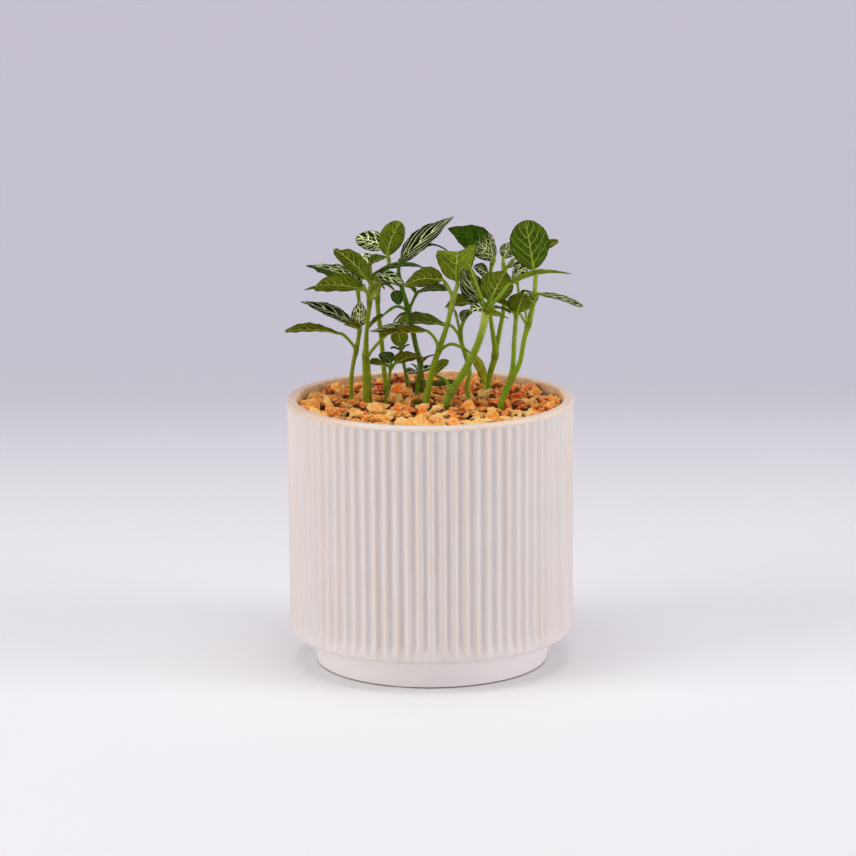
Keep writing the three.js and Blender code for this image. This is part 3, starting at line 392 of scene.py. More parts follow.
def smooth_path(points, step):
    """Points about a step apart on a centripetal Catmull-Rom curve, with every other value they carry"""
    given = np.array(points, dtype=float)
    ends = np.vstack([2 * given[0] - given[1], given, 2 * given[-1] - given[-2]])
    path = []
    for i in range(1, len(ends) - 2):
        four = ends[i - 1:i + 3]
        gaps = np.maximum(steps_along(four[:, :3]) ** 0.5, 1e-4)
        t = np.concatenate([[0], np.cumsum(gaps)])
        steps = max(2, math.ceil(gaps[1] ** 2 / step))
        for now in np.linspace(t[1], t[2], steps, endpoint=False):
            blend = list(four)
            for spans in KNOT_SPANS:
                blend = [
                    ((t[b] - now) * blend[k] + (now - t[a]) * blend[k + 1]) / (t[b] - t[a])
                    for k, (a, b) in enumerate(spans)
                ]
            path.append(blend[0])
    path.append(given[-1])
    return np.array(path)


def tube(path, radii, sides, seed=0.0, rough=0.0):
    """Rings of points round a path, slightly uneven where rough isn't 0, with their place on it"""
    rng = np.random.default_rng(int(seed * 1000) + 5)
    waves = rng.uniform(0, 2 * np.pi, 3)
    normal = np.array([0.3, 1.0, 0.1])
    along = distance_along(path)
    turn = np.arange(sides) / sides * 2 * np.pi
    points = []
    for i, tangent in enumerate(unit(np.gradient(path, axis=0))):
        normal = unit(normal - tangent * normal.dot(tangent))
        across = np.cross(tangent, normal)
        bumps = np.sin(turn * 2 + waves[0] + along[i] * 0.13) + np.sin(turn * 3 + waves[1] - along[i] * 0.3)
        radius = radii[i] * (1 + rough * bumps * (0.7 + 0.5 * np.sin(along[i] * 0.9 + waves[2])))
        around = np.cos(turn)[:, None] * normal + np.sin(turn)[:, None] * across
        points.append(path[i] + radius[:, None] * around)
    return np.vstack(points), (np.repeat(along, sides), np.outer(radii, turn).ravel(), seed)


# Stems

STEM_SKIN, UPPER_SIDE, UNDERSIDE, FUZZ = range(4)
STEM_STEP = 0.8
STEM_SIDES = 12
STEM_ROUGHNESS = 0.02
TOP_TAPER = 0.7
JOINT_SWELLING = 0.22
JOINT_LENGTH = 1.5
JOINT_REACH = 2.6  # a joint swells the stems that pass it this closely
FELT_REACH = (6.0, 18.0)  # the pale felt of a stem's top thins out between these distances from its end
HAIR_RADIUS = 0.055
HAIR_LENGTH = 0.75
HAIR_ROOT = 0.97  # how far out in the stem's radius a hair starts
HAIRS_PER_MM2 = 2.2
STALK_DENSITY = 1.3  # the hairs of a leaf's stalk stand closer than those of a stem with a fuzz of 1,
STALK_HAIR_SHARE = 0.8  # and have this share of their length


def add_stem(parts, path, joints, tint, felt, seed, rooted):
    """A cane or shoot, swollen where the joints lie and felted pale near its top"""
    line = list(path)
    if rooted:
        x, y, z, radius = line[0]
        line = [(x, y, z - ROOT_DEPTH, radius * ROOT_TAPER), (x, y, (z + SOIL_TOP) / 2, radius)] + line
    course = smooth_path(line, STEM_STEP)
    centre, radii = course[:, :3], course[:, 3].copy()
    swelling = np.zeros(len(centre))
    for joint in joints:
        away = np.linalg.norm(centre - np.array(joint), axis=1)
        if away.min() < JOINT_REACH:
            from_joint = np.linalg.norm(centre - centre[away.argmin()], axis=1)
            swelling = np.maximum(swelling, np.exp(-(from_joint / JOINT_LENGTH) ** 2))
    radii *= 1 + JOINT_SWELLING * swelling
    radii[-1] *= TOP_TAPER
    points, place = tube(centre, radii, STEM_SIDES, seed, STEM_ROUGHNESS)
    to_top = distance_along(centre[::-1])[::-1]
    felted = felt * (1 - smooth_step(*FELT_REACH, to_top))
    look = (tint, np.repeat(swelling, STEM_SIDES), np.repeat(felted, STEM_SIDES))
    parts.add(points, rings_to_faces(len(centre), STEM_SIDES), STEM_SKIN, place=place, look=look)
    return centre, radii


def add_hairs(parts, centre, radii, density, length, rng):
    """Fine hairs that stand out from a stem or stalk above the chips"""
    tangents = unit(np.gradient(centre, axis=0))
    for i, step in enumerate(steps_along(centre)):
        if centre[i][2] < CHIP_TOP:
            continue
        count = rng.poisson(HAIRS_PER_MM2 * density * 2 * np.pi * radii[i] * step)
        for _ in range(count):
            root = centre[i] + (centre[i + 1] - centre[i]) * rng.random()
            side = unit(np.cross(tangents[i], rng.normal(size=3)))
            lean = unit(side + tangents[i] * rng.uniform(-0.5, 0.5))
            start = root + side * radii[i] * HAIR_ROOT
            across = unit(np.cross(lean, tangents[i])) * HAIR_RADIUS
            other = unit(np.cross(lean, across)) * HAIR_RADIUS
            corners = [
                start + across, start - across * 0.5 + other * 0.87, start - across * 0.5 - other * 0.87,
                start + lean * length * rng.uniform(0.5, 1.2)]
            parts.add(corners, [(0, 2, 1), (0, 1, 3), (1, 2, 3), (2, 0, 3)], FUZZ)


# Leaves

BLADE_THICKNESS = 0.42
STALK_HALF_WIDTH = 0.32  # of the blade, where the stalk meets it
TIP_HALF_WIDTH = 0.1
TIP_PINCH = 0.42
ROW_STEP = 0.5  # along the blade
COLUMN_STEP = 1.1  # across it
WIDE_LEAF = 8.0  # a leaf this wide has one more pair of side veins
END_SPACE = 1.2  # the blade's bare ends together, in spacings of the side veins
VEIN_CURVE = 1.35  # over 1 the side veins bend towards the tip on their way out
RAKE_SHARE = 1.05  # how steeply the side veins lean at half their run, from their course
MARGIN_WAVE = 0.02
RIPPLE_SHARE = 0.018  # of the leaf's width
QUILT_HEIGHT = 0.13
GROOVE_DEPTH = 0.16  # over the midrib
RIDGE_SHARE = 0.022  # the ridge below it is deeper than the groove by this share of the leaf's width
PETIOLE_RADIUS = 0.62
PETIOLE_STEP = 0.5
PETIOLE_SIDES = 8
PETIOLE_TAPER = 0.72
PETIOLE_ROUGHNESS = 0.03
RUN_ON = (0.08, 0.2, 0.35)  # a stalk runs on under the blade past these shares of its length,
RUN_ON_DEPTH = 0.3  # this far below the midrib


class Midrib:
    """The curve that a leaf's midrib follows: quadratic, from the stalk to the tip"""

    def __init__(self, leaf):
        self.start = np.array(leaf["base"], dtype=float)
        self.end = np.array(leaf["tip"], dtype=float)
        self.face = np.array(leaf["face"], dtype=float)
        middle = (self.start + self.end) / 2
        chord = self.end - self.start
        top = leaf["bend"]
        if not isinstance(top, tuple):
            along = unit(chord)
            up = unit(self.face - along * self.face.dot(along))
            top = middle + up * top * np.linalg.norm(chord)
        self.control = 2 * np.array(top, dtype=float) - middle
        self.length = float(np.sum(steps_along(self.point(np.linspace(0, 1, 30)))))

    def point(self, s):
        s = np.asarray(s, dtype=float)[:, None]
        return (1 - s) ** 2 * self.start + 2 * s * (1 - s) * self.control + s ** 2 * self.end

    def tangent(self, s):
        s = np.asarray(s, dtype=float)[:, None]
        return unit((1 - s) * (self.control - self.start) + s * (self.end - self.control))

    def up(self, s):
        """The way the upper side looks, square to the midrib"""
        tangent = self.tangent(s)
        return unit(self.face - tangent * (tangent @ self.face)[:, None])


def half_widths(leaf, s):
    """Half the blade's width at each share s of its length, pinched in towards a pointed tip"""
    outline = np.maximum(np.sin(np.pi * s ** leaf["widest"]), 0)
    half = leaf["width"] / 2 * outline ** leaf["full"]
    half *= 1 - TIP_PINCH * leaf["point"] * smooth_step(0.55, 0.97, s)
    return np.maximum(half, np.where(s < 0.5, STALK_HALF_WIDTH, TIP_HALF_WIDTH))


def blade_grid(length, width):
    """Shares of the length, closer near both ends, and places across from -1 to 1, closer at the midrib"""
    rows = int(np.clip(length / ROW_STEP, 16, 46))
    half_columns = int(np.clip(width / COLUMN_STEP, 4, 11))
    s = 0.5 - 0.5 * np.cos(np.linspace(0.02, 1, rows + 1) * np.pi)
    s = 0.6 * s + 0.4 * np.linspace(0, 1, rows + 1)
    s = (s - s[0]) / (s[-1] - s[0])
    inner = np.linspace(0, 1, half_columns + 1) ** 1.15
    return s, np.concatenate([-inner[:0:-1], inner])


def wavy_reach(leaf, s, across, rng):
    """How far out the margin lies at each point's row, and how high the blade ripples towards it"""
    along = s[:, None]
    waves = 3 + 2 * rng.random(2)
    starts = rng.uniform(0, 2 * np.pi, 2)
    by_side = np.where(across < 0, 0, 1)
    turns = 2 * np.pi * waves[by_side] * along
    reach = half_widths(leaf, s)[:, None] * (1 + MARGIN_WAVE * np.sin(2.3 * turns + starts[by_side]))
    if leaf["torn"]:
        notch = smooth_step(0.78, 0.84, along) * (1 - smooth_step(0.9, 0.96, along))
        reach = reach * np.where(by_side == 0, 1 - 0.55 * notch, 1 - 0.2 * smooth_step(0.86, 0.9, along))
    ripple = RIPPLE_SHARE * leaf["width"] * np.sin(turns + starts[by_side]) * np.abs(across) ** 3
    return reach, ripple * np.sin(np.pi * along).clip(0) ** 0.5


def side_vein_run(leaf, length, along, out):
    """The side veins' spacing, each point's place among them, and how steeply they lean halfway out"""
    pairs = leaf["pairs"] or (4 if leaf["width"] < WIDE_LEAF else 5)
    phase = (along - leaf["course"] * out ** VEIN_CURVE) * length
    rake = math.hypot(1, RAKE_SHARE * leaf["course"] * length / (leaf["width"] / 2))
    return length / (pairs + END_SPACE), phase, rake


def two_sides(middle, up, off_rib, along, out, width):
    """The blade's upper and lower side: thin at the margin, grooved over the midrib and ridged below it"""
    normal = unit(np.cross(np.gradient(middle, axis=1), np.gradient(middle, axis=0)))
    normal *= np.sign(np.einsum("ijk,ik->ij", normal, up))[..., None]
    thin_ends = np.minimum(1, 0.35 + 6 * np.minimum(along, 1 - along))
    thick = BLADE_THICKNESS / 2 * (1 - 0.65 * out ** 5) * thin_ends
    groove = GROOVE_DEPTH * np.exp(-(off_rib / 0.45) ** 2) * (1 - 0.7 * along)
    ridge = (GROOVE_DEPTH + RIDGE_SHARE * width) * np.exp(-(off_rib / 0.5) ** 2) * (1 - 0.8 * along)
    return middle + normal * (thick - groove)[..., None], middle - normal * (thick + ridge)[..., None]


def add_blade(parts, leaf, rng):
    """One thin blade, its halves folded up, quilted between the side veins and wavy at the margin"""
    rib = Midrib(leaf)
    length = rib.length
    seed = rng.random() * 50
    s, u = blade_grid(length, leaf["width"])
    along = s[:, None]
    across = u[None, :]
    out = np.abs(across)
    reach, ripple = wavy_reach(leaf, s, across, rng)
    off_rib = across * reach
    spacing, phase, rake = side_vein_run(leaf, length, along, out)
    pillow = np.sin(np.pi * phase / spacing) ** 2
    quilt = QUILT_HEIGHT * min(spacing / 3, 1) * pillow ** 0.7 * np.sin(np.pi * out.clip(0, 1) ** 0.8)
    fold = math.radians(leaf["fold"])
    lift = np.sin(np.pi * (0.15 + 0.85 * along)).clip(0) ** 0.5
    height = out * reach * math.sin(fold) * lift + quilt + ripple
    up = rib.up(s)
    side = np.cross(rib.tangent(s), up)
    middle = rib.point(s)[:, None, :] + side[:, None, :] * (off_rib * math.cos(fold))[..., None]
    middle = middle + up[:, None, :] * height[..., None]
    upper, lower = two_sides(middle, up, off_rib, along, out, leaf["width"])

    # Each row is a ring: over the upper side to the other margin, and back below
    columns = len(u)
    order = list(range(columns)) + list(range(columns - 2, 0, -1))
    points = np.concatenate([upper, lower[:, columns - 2:0:-1]], axis=1)
    points[:, 0] = middle[:, 0]
    points[:, columns - 1] = middle[:, -1]

    def on_ring(value):
        return np.broadcast_to(value, (len(s), columns))[:, order].ravel()

    net = leaf["net"] * (1 - smooth_step(0, 0.25, across * leaf["plain_side"]))
    row_finishes = [UPPER_SIDE] * (columns - 1) + [UNDERSIDE] * (columns - 1)
    parts.add(
        points, rings_to_faces(len(s), len(order)), row_finishes * (len(s) - 1) + [UNDERSIDE] * 2,
        place=(on_ring(along * length), on_ring(off_rib), seed),
        course=(on_ring(phase), spacing, leaf["cell"]),
        share=(on_ring(along), on_ring(out), rake),
        look=(on_ring(net), leaf["under"], leaf["fade"]),
    )
    return rib


def add_petiole(parts, leaf, rib, tint, seed):
    """A leaf's stalk, flared where it leaves the stem and running on under the midrib"""
    stalk = [leaf["root"]] + ([leaf["bow"]] if leaf["bow"] else [])
    run_on = rib.point(RUN_ON) - rib.up(RUN_ON) * RUN_ON_DEPTH
    course = smooth_path(np.vstack([stalk, rib.point([0.0]), run_on]), PETIOLE_STEP)
    along = distance_along(course)
    radii = min(PETIOLE_RADIUS, leaf["width"] / 10 + 0.1) * (1 + 0.35 * np.exp(-along ** 2))
    radii *= 1 - PETIOLE_TAPER * smooth_step(0.5, 1, along / along[-1])
    points, place = tube(course, radii, PETIOLE_SIDES, seed, PETIOLE_ROUGHNESS)
    look = (tint, np.repeat(np.exp(-along ** 2), PETIOLE_SIDES), 0.0)
    parts.add(points, rings_to_faces(len(course), PETIOLE_SIDES), STEM_SKIN, place=place, look=look)
    return course, radii


def leafy_stem(stem, number, finishes):
    """A stem with its shoots, hairs and leaves, in place of the frame's plainer one"""
    parts = Parts()
    rng = np.random.default_rng(100 + number)
    canes = stem["canes"]
    shoots = stem.get("shoots", [])
    joints = [leaf["root"] for leaf in stem["leaves"]] + [shoot[0][:3] for shoot in shoots]
    for i, path in enumerate(canes + shoots):
        seed = number + i * 0.13
        rooted = i < len(canes)
        centre, radii = add_stem(parts, path, joints, stem["tint"], stem.get("felt", 0), seed, rooted)
        add_hairs(parts, centre, radii, stem.get("fuzz", 1), HAIR_LENGTH, rng)
    for leaf in stem["leaves"]:
        rib = add_blade(parts, leaf, rng)
        course, radii = add_petiole(parts, leaf, rib, stem["tint"], rng.random() * 9)
        add_hairs(parts, course, radii, STALK_DENSITY, HAIR_LENGTH * STALK_HAIR_SHARE, rng)
    name = f"leafy_stem_{number + 1}"
    piece = parts.make(name + "_fine", finishes)
    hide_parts(name)
    return piece


# Pot

def arc(centre_r, centre_z, radius, start, end, steps):
    """Points [radius, height] of a quarter or other arc, between two angles in degrees"""
    turns = np.radians(np.linspace(start, end, steps))
    return [(centre_r + radius * math.cos(t), centre_z + radius * math.sin(t)) for t in turns]


# How the grooves run out at a fine step under the lip: how far in, how far above the ribs' top, and depth
RIB_ENDS = (
    (0.02, -1.2, 0.97), (0.06, -0.7, 0.9), (0.12, -0.35, 0.75), (0.2, -0.15, 0.5),
    (0.28, -0.02, 0.25), (0.2, 0.1, 0.1), (0.04, 0.35, 0.05), (0.0, 0.7, 0.03),
)


def pot_rows():
    """The pot's section as rows (radius, height, depth of the grooves), from under the foot to the floor"""
    inner = POT_RADIUS - WALL
    foot_slope = (FOOT_TOP_RADIUS - FOOT_RADIUS) / FOOT_HEIGHT
    low = POT_RADIUS - RIB_INSET
    groove_start = FOOT_HEIGHT + RIB_ROUNDING
    lip_middle = POT_HEIGHT - LIP_ROUNDING
    foot = [(r, 0.0) for r in (6, 24, 42)]
    foot += arc(FOOT_RADIUS - FOOT_ROUNDING, FOOT_ROUNDING, FOOT_ROUNDING, -90, 0, 5)
    foot += [(FOOT_RADIUS + foot_slope * z, z) for z in (3, 7, 11, FOOT_HEIGHT - 0.6)]
    foot += [(FOOT_TOP_RADIUS + 0.15, FOOT_HEIGHT - 0.15), (FOOT_TOP_RADIUS + 0.6, FOOT_HEIGHT)]
    foot += [(low - 3.2, FOOT_HEIGHT)]
    wall = [(r, z, FAINT_GROOVE) for r, z in arc(low, groove_start, RIB_INSET, -90, 0, 8)]
    for share in (0.2, 0.4, 0.6, 0.8):
        depth = FAINT_GROOVE + (1 - FAINT_GROOVE) * share ** 0.8
        wall.append((POT_RADIUS, groove_start + share * RIB_FADE, depth))
    wall += [(POT_RADIUS, z, 1.0) for z in (22, 44, 66, 88, 100, RIB_TOP - 2.4)]
    wall += [(POT_RADIUS - inset, RIB_TOP + above, depth) for inset, above, depth in RIB_ENDS]
    lip = arc(POT_RADIUS - LIP_ROUNDING, lip_middle, LIP_ROUNDING, 0, 90, 7)
    lip += [(LIP_CROWN_RADIUS, POT_HEIGHT + 0.02)]
    lip += arc(inner + LIP_ROUNDING, lip_middle, LIP_ROUNDING, 90, 180, 6)
    inside = [(inner, z) for z in (108, 104, 98, SHOULDER_HIGH)]
    inside += [(FOOT_RADIUS - WALL, SHOULDER_LOW), (FOOT_RADIUS - WALL, FLOOR), (30, FLOOR), (8, FLOOR)]
    return [(r, z, 0.0) for r, z in foot] + wall + [(r, z, 0.0) for r, z in lip + inside]


def ribbed_pot(finish):
    """The whole pot as one shell: foot, ribbed wall, lip, and the inside down to the floor"""
    across = np.arange(STEPS_PER_RIB) / STEPS_PER_RIB
    rise = np.tile((np.cos(np.pi * across) ** 2) ** RIB_SHARPNESS, RIB_COUNT)  # 0 in a groove, 1 on a crest
    sides = len(rise)
    turn = np.arange(sides) / sides * 2 * np.pi - np.pi / 2
    radius, height, depth = np.array(pot_rows()).T[:, :, None]
    sunk = depth * (1 - rise)
    out = radius - RIB_DEPTH * sunk
    height = np.broadcast_to(height, out.shape)
    points = np.stack([out * np.cos(turn), out * np.sin(turn), height], axis=-1)
    look = ((1 - sunk).ravel(), height.ravel(), np.broadcast_to(depth, out.shape).ravel())
    parts = Parts()
    parts.add(points, rings_to_faces(len(radius), sides), 0, look=look)
    piece = parts.make("ribbed_pot", [finish])
    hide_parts("pot")
    return piece


# Stone chips

CHIP_SHAPES = 40
CHIP_LENGTH = (6.0, 11.5)
CHIP_CUTS = 3  # each facet is divided into this many along its side
CHIP_CORNERS = 17
CHIP_LAYERS = (
    {"height": 104.9, "count": 150, "size": 0.9, "bank": LOW_BANK, "tilt": 0.2},
    {"height": 107.2, "count": 200, "size": 1.0, "bank": 1.0, "tilt": 0.42},
)
WALL_CHIPS = 110  # lean against the wall behind and beside the plant, on top of the others
WALL_CHIP_LENGTH = (4.5, 8.0)
WALL_CHIP_LIFT = 0.7
SMALL_CHIPS = 400  # lie lowest and are painted dark nearly all over, as the shade between the others
SMALL_CHIP_SHAPES = 16
SMALL_CHIP_LENGTH = (4.0, 6.5)
SMALL_CHIP_CUTS = 2
# Rough reddish chunks in the heap: place, length, tint, and the three turns that set each on end
LOOSE_CHUNKS = [
    ((-14, 40, 112.5), 7.5, 0.02, (0.4, 1.2, 0.3)),
    ((-11, 41, 111.5), 6.0, 0.05, (1.4, 0.9, 0.8)),
    ((-17.5, 39.5, 111), 6.0, 0.08, (2.1, 0.7, 0.2)),
    ((-3, 44, 112), 6.5, 0.1, (0.9, 1.1, 1.3)),
]
# A thin brown flake that lies across the chips: points along it
THIN_FLAKE = [(-24, 37, 110.5), (-19, 36.5, 110.7), (-13, 37, 110.6), (-7, 39, 110.3)]
FLAKE_RADIUS = 0.45
GOLDEN_ANGLE = math.pi * (3 - math.sqrt(5))  # turns each chip on from the last, so that they lie evenly
BED_SIDES = 72
INNER = POT_RADIUS - WALL - GAP  # the radius that the chips have
WALL_CLEARANCE = 0.2
CANE_CLEARANCE = 1.2  # and this share of a chip's length more
CHIP_SHARE = 0.16
CANES = [np.array(path[0][:2]) for stem in LEAFY_STEMS for path in stem["canes"]]


def divided(corners, facets, cuts):
    """The facets of a chip divided evenly: points, triangles, and how near each point is to an edge"""
    points = []
    edges = []
    known = {}

    def point(weights):
        key = tuple(sorted((corner, w) for corner, w in weights if w))
        if key not in known:
            known[key] = len(points)
            points.append(sum(corners[corner] * (w / cuts) for corner, w in key))
            edges.append({1: 1.0, 2: 0.8, 3: 0.0}[len(key)])
        return known[key]

    triangles = []
    for a, b, c in facets:
        grid = {}
        for i in range(cuts + 1):
            for j in range(cuts + 1 - i):
                grid[i, j] = point([(a, cuts - i - j), (b, i), (c, j)])
        for i in range(cuts):
            for j in range(cuts - i):
                triangles.append((grid[i, j], grid[i + 1, j], grid[i, j + 1]))
                if i + j < cuts - 1:
                    triangles.append((grid[i + 1, j], grid[i + 1, j + 1], grid[i, j + 1]))
    return np.array(points), triangles, np.array(edges)


def chip_shape(rng, cuts):
    """A broken flake one unit long: a hull of loose points, its facets hollowed, bent and roughened"""
    shape = bmesh.new()
    spread = np.array([1.0, rng.uniform(0.5, 0.78), rng.uniform(0.26, 0.46)])
    for _ in range(CHIP_CORNERS):
        way = unit(rng.normal(size=3))
        shape.verts.new(way * spread * 0.5 * rng.uniform(0.84, 1.12))
    hull = bmesh.ops.convex_hull(shape, input=shape.verts)
    loose = {v for v in hull["geom_interior"] + hull["geom_unused"] if isinstance(v, bmesh.types.BMVert)}
    bmesh.ops.delete(shape, geom=list(loose), context="VERTS")
    shape.verts.index_update()
    corners = [np.array(v.co) for v in shape.verts]
    facets = [tuple(v.index for v in f.verts) for f in shape.faces]
    shape.free()
    points, triangles, edges = divided(corners, facets, cuts)
    bend = rng.uniform(-0.35, 0.35)
    shift = rng.uniform(-50, 50, 3)
    inwards = unit(points.mean(axis=0) - points)
    rough = np.array([noise.noise(Vector(p * 6 + shift)) for p in points])
    broad = np.array([noise.noise(Vector(p * 2.6 - shift)) for p in points])
    points = points + inwards * (0.035 * (1 - edges) + 0.035 * rough + 0.07 * broad)[:, None]
    points[:, 2] += bend * (points[:, 0] ** 2 - 0.1)
    return points, triangles, edges


def shade_painted_low(points, reach):
    """How much painted shade each point of a chip gets, from 1 at its lowest part to 0 in its upper part"""
    height = points[:, 2]
    share = (height - height.min()) / (height.max() - height.min())
    return 1 - smooth_step(0.06, 0.38 + 0.25 * reach, share)


def turned_by(yaw, pitch, roll):
    return np.array((Matrix.Rotation(yaw, 3, "Z") @ Matrix.Rotation(pitch, 3, "Y")
                     @ Matrix.Rotation(roll, 3, "X")))


def heap_share(x, y):
    far = (x - HEAP["x"]) ** 2 + (y - HEAP["y"]) ** 2
    return math.exp(-far / (2 * HEAP["reach"] ** 2))


def bank_height(x, y):
    """How much higher than in the middle the chips lie: at the wall, most at the back, and in a heap"""
    out = math.hypot(x, y)
    behind = 0.7 + 0.3 * y / max(out, 1)
    bank = BANK_RISE * behind * float(smooth_step(BANK_START, POT_RADIUS - WALL, out))
    return bank + HEAP["height"] * heap_share(x, y)


def spot_at(out, angle):
    return np.array([out * math.cos(angle), out * math.sin(angle)])


def in_a_cane(spot, size):
    return any(np.linalg.norm(spot - cane) < CANE_CLEARANCE + size * CHIP_SHARE for cane in CANES)


def add_bed(parts):
    """The bed under the chips, uneven on top, painted dark as the shade deep between them"""
    turn = np.arange(BED_SIDES) / BED_SIDES * 2 * np.pi
    levels = [(4, SOIL_TOP + GAP), (INNER, SOIL_TOP + GAP), (INNER, BED_TOP)]
    levels += [(r, BED_TOP) for r in (54, 48, 40, 32, 24, 16, 8, 3)]
    rings = []
    for radius, z in levels:
        ring = np.column_stack([radius * np.cos(turn), radius * np.sin(turn), np.full(BED_SIDES, z)])
        if z == BED_TOP and radius < INNER:
            rise = [LOW_BANK * bank_height(*p[:2]) + 0.6 * noise.noise(Vector(p * 0.3)) for p in ring]
            ring[:, 2] += rise
        rings.append(ring)
    parts.add(np.vstack(rings), rings_to_faces(len(levels), BED_SIDES), 1)


def add_chip(parts, shape, size, turns, place, tint, reach=None, painted_chip_shade=None):
    """Places one chip, pushed in where it would pass the wall, with painted shade up to its reach or all
    over
    """
    points, triangles, edges = shape
    placed = points * size @ turned_by(*turns).T + place
    out = np.linalg.norm(placed[:, :2], axis=1)
    placed[:, :2] /= np.maximum(out / (INNER - WALL_CLEARANCE), 1)[:, None]
    if painted_chip_shade is None:
        painted_chip_shade = shade_painted_low(placed, reach)
    parts.add(placed, triangles, 0, look=(tint, edges, painted_chip_shade))


def add_layer(parts, layer, shapes, rng):
    """One layer of chips, with painted shade darkening them towards the back, and redder in the heap"""
    for k in range(layer["count"]):
        shape = shapes[rng.integers(CHIP_SHAPES)]
        size = rng.uniform(*CHIP_LENGTH) * layer["size"]
        out = (INNER - 2.6) * math.sqrt((k + 0.5) / layer["count"]) + rng.uniform(-0.8, 0.8)
        spot = spot_at(out, k * GOLDEN_ANGLE + rng.uniform(-0.05, 0.05))
        tilt = rng.normal(0, layer["tilt"], 2)
        if in_a_cane(spot, size):
            continue
        height = layer["height"] + layer["bank"] * bank_height(*spot) + rng.uniform(-0.7, 1.0)
        turns = (rng.uniform(0, 2 * np.pi), *tilt)
        tint = 0.2 + 0.6 * rng.beta(2.2, 1.9)
        # Lower tints towards the back are painted shade; the heap is really redder
        tint = tint - 0.14 * smooth_step(-20, 20, spot[1]) - 0.6 * heap_share(*spot)
        add_chip(parts, shape, size, turns, (*spot, height), np.clip(tint, 0, 1), rng.random())


def add_wall_chips(parts, shapes, rng):
    for _ in range(WALL_CHIPS):
        shape = shapes[rng.integers(CHIP_SHAPES)]
        size = rng.uniform(*WALL_CHIP_LENGTH)
        out = INNER - rng.uniform(1.6, 7.0)
        spot = spot_at(out, rng.uniform(-0.25, math.pi + 0.25))
        height = CHIP_LAYERS[-1]["height"] + bank_height(*spot) + WALL_CHIP_LIFT * rng.random()
        tilt = rng.normal(0, 0.5, 2)
        turns = (rng.uniform(0, 2 * np.pi), *tilt)
        tint = 0.15 + 0.55 * rng.beta(2.2, 1.9)
        add_chip(parts, shape, size, turns, (*spot, height), tint, rng.random())


def add_small_chips(parts, rng):
    shapes = [chip_shape(rng, SMALL_CHIP_CUTS) for _ in range(SMALL_CHIP_SHAPES)]
    for k in range(SMALL_CHIPS):
        size = rng.uniform(*SMALL_CHIP_LENGTH)
        spot = spot_at((INNER - 1.5) * math.sqrt((k + 0.5) / SMALL_CHIPS), k * GOLDEN_ANGLE + 1.0)
        if in_a_cane(spot, size):
            continue
        height = BED_TOP + LOW_BANK * bank_height(*spot) + rng.uniform(0, 0.9)
        tilt = rng.normal(0, 0.4, 2)
        turns = (rng.uniform(0, 2 * np.pi), *tilt)
        tint = 0.6 * rng.random()
        shape = shapes[k % SMALL_CHIP_SHAPES]
        # Painted shade over most of each small chip
        add_chip(parts, shape, size, turns, (*spot, height), tint, painted_chip_shade=rng.uniform(0.7, 1))


def stone_chips(finishes):
    """The top dressing: a bed painted dark as shade, with layers of chips over it, kept off the canes and
    the wall
    """
    rng = np.random.default_rng(21)
    shapes = [chip_shape(rng, CHIP_CUTS) for _ in range(CHIP_SHAPES)]
    parts = Parts()
    add_bed(parts)
    for layer in CHIP_LAYERS:
        add_layer(parts, layer, shapes, rng)
    add_wall_chips(parts, shapes, rng)
    add_small_chips(parts, rng)
    for place, size, tint, turns in LOOSE_CHUNKS:
        add_chip(parts, shapes[rng.integers(CHIP_SHAPES)], size, turns, place, tint, rng.random())
    flake = smooth_path([(*p, FLAKE_RADIUS) for p in THIN_FLAKE], 0.8)
    points, _ = tube(flake[:, :3], flake[:, 3], 6, seed=3.0, rough=0.2)
    parts.add(points, rings_to_faces(len(flake), 6), 0, look=(0.0, 0.2, 0.5))
    piece = parts.make("stone_chips", finishes, smooth=False)
    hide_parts("gravel")
    return piece


# Finishes

def srgb(red, green, blue):
    """A colour as seen, 0 to 255, in the linear numbers that shaders take"""
    def linear(value):
        value /= 255
        return value / 12.92 if value <= 0.04045 else ((value + 0.055) / 1.055) ** 2.4
    return (linear(red), linear(green), linear(blue), 1.0)


def feed(socket, value):
    """Joins an input to another node's output, or sets it to a value if there is one"""
    if isinstance(value, bpy.types.NodeSocket):
        socket.id_data.links.new(value, socket)
    elif value is not None:
        socket.default_value = value


def node(kind, feeds, **settings):
    """A new node with its settings and inputs, in the tree of the outputs that feed it"""
    tree = next(value.id_data for value in feeds.values() if isinstance(value, bpy.types.NodeSocket))
    made = tree.nodes.new("ShaderNode" + kind)
    for name, value in settings.items():
        setattr(made, name, value)
    for socket, value in feeds.items():
        feed(made.inputs[socket], value)
    return made


def maths(operation, *values, clamp=False):
    return node("Math", dict(enumerate(values)), operation=operation, use_clamp=clamp).outputs[0]


def times(first, second):
    return maths("MULTIPLY", first, second)


def ratio(first, second):
    return maths("DIVIDE", first, second)


def mixed(share, first, second):
    """Two colours mixed by a share from 0 to 1"""
    return node("Mix", {0: share, 6: first, 7: second}, data_type="RGBA").outputs[2]


def coated(colour, *coats):
    """A colour with others laid over it in turn, each by its share"""
    for share, coat in coats:
        colour = mixed(share, colour, coat)
    return colour


def between(value, low, high, to_low=0.0, to_high=1.0):
    """A value mapped smoothly from one range to another"""
    feeds = {"Value": value, "From Min": low, "From Max": high, "To Min": to_low, "To Max": to_high}
    return node("MapRange", feeds, interpolation_type="SMOOTHSTEP").outputs[0]


def attribute(tree, name):
    made = tree.nodes.new("ShaderNodeAttribute")
    made.attribute_name = name
    return made.outputs["Vector"]


def split(vector):
    return node("SeparateXYZ", {0: vector}).outputs[:3]


def mottle(vector, scale, detail=3.0, roughness=0.55):
    feeds = {"Vector": vector, "Scale": scale, "Detail": detail, "Roughness": roughness}
    return node("TexNoise", feeds).outputs["Fac"]


def colour_range(value, stops):
    """A colour picked along a range of (place, colour) stops"""
    made = node("ValToRGB", {"Fac": value})
    elements = made.color_ramp.elements
    while len(elements) < len(stops):
        elements.new(0.5)
    for element, (place, colour) in zip(elements, stops):
        element.position = place
        element.color = srgb(*colour)
    return made.outputs["Color"]


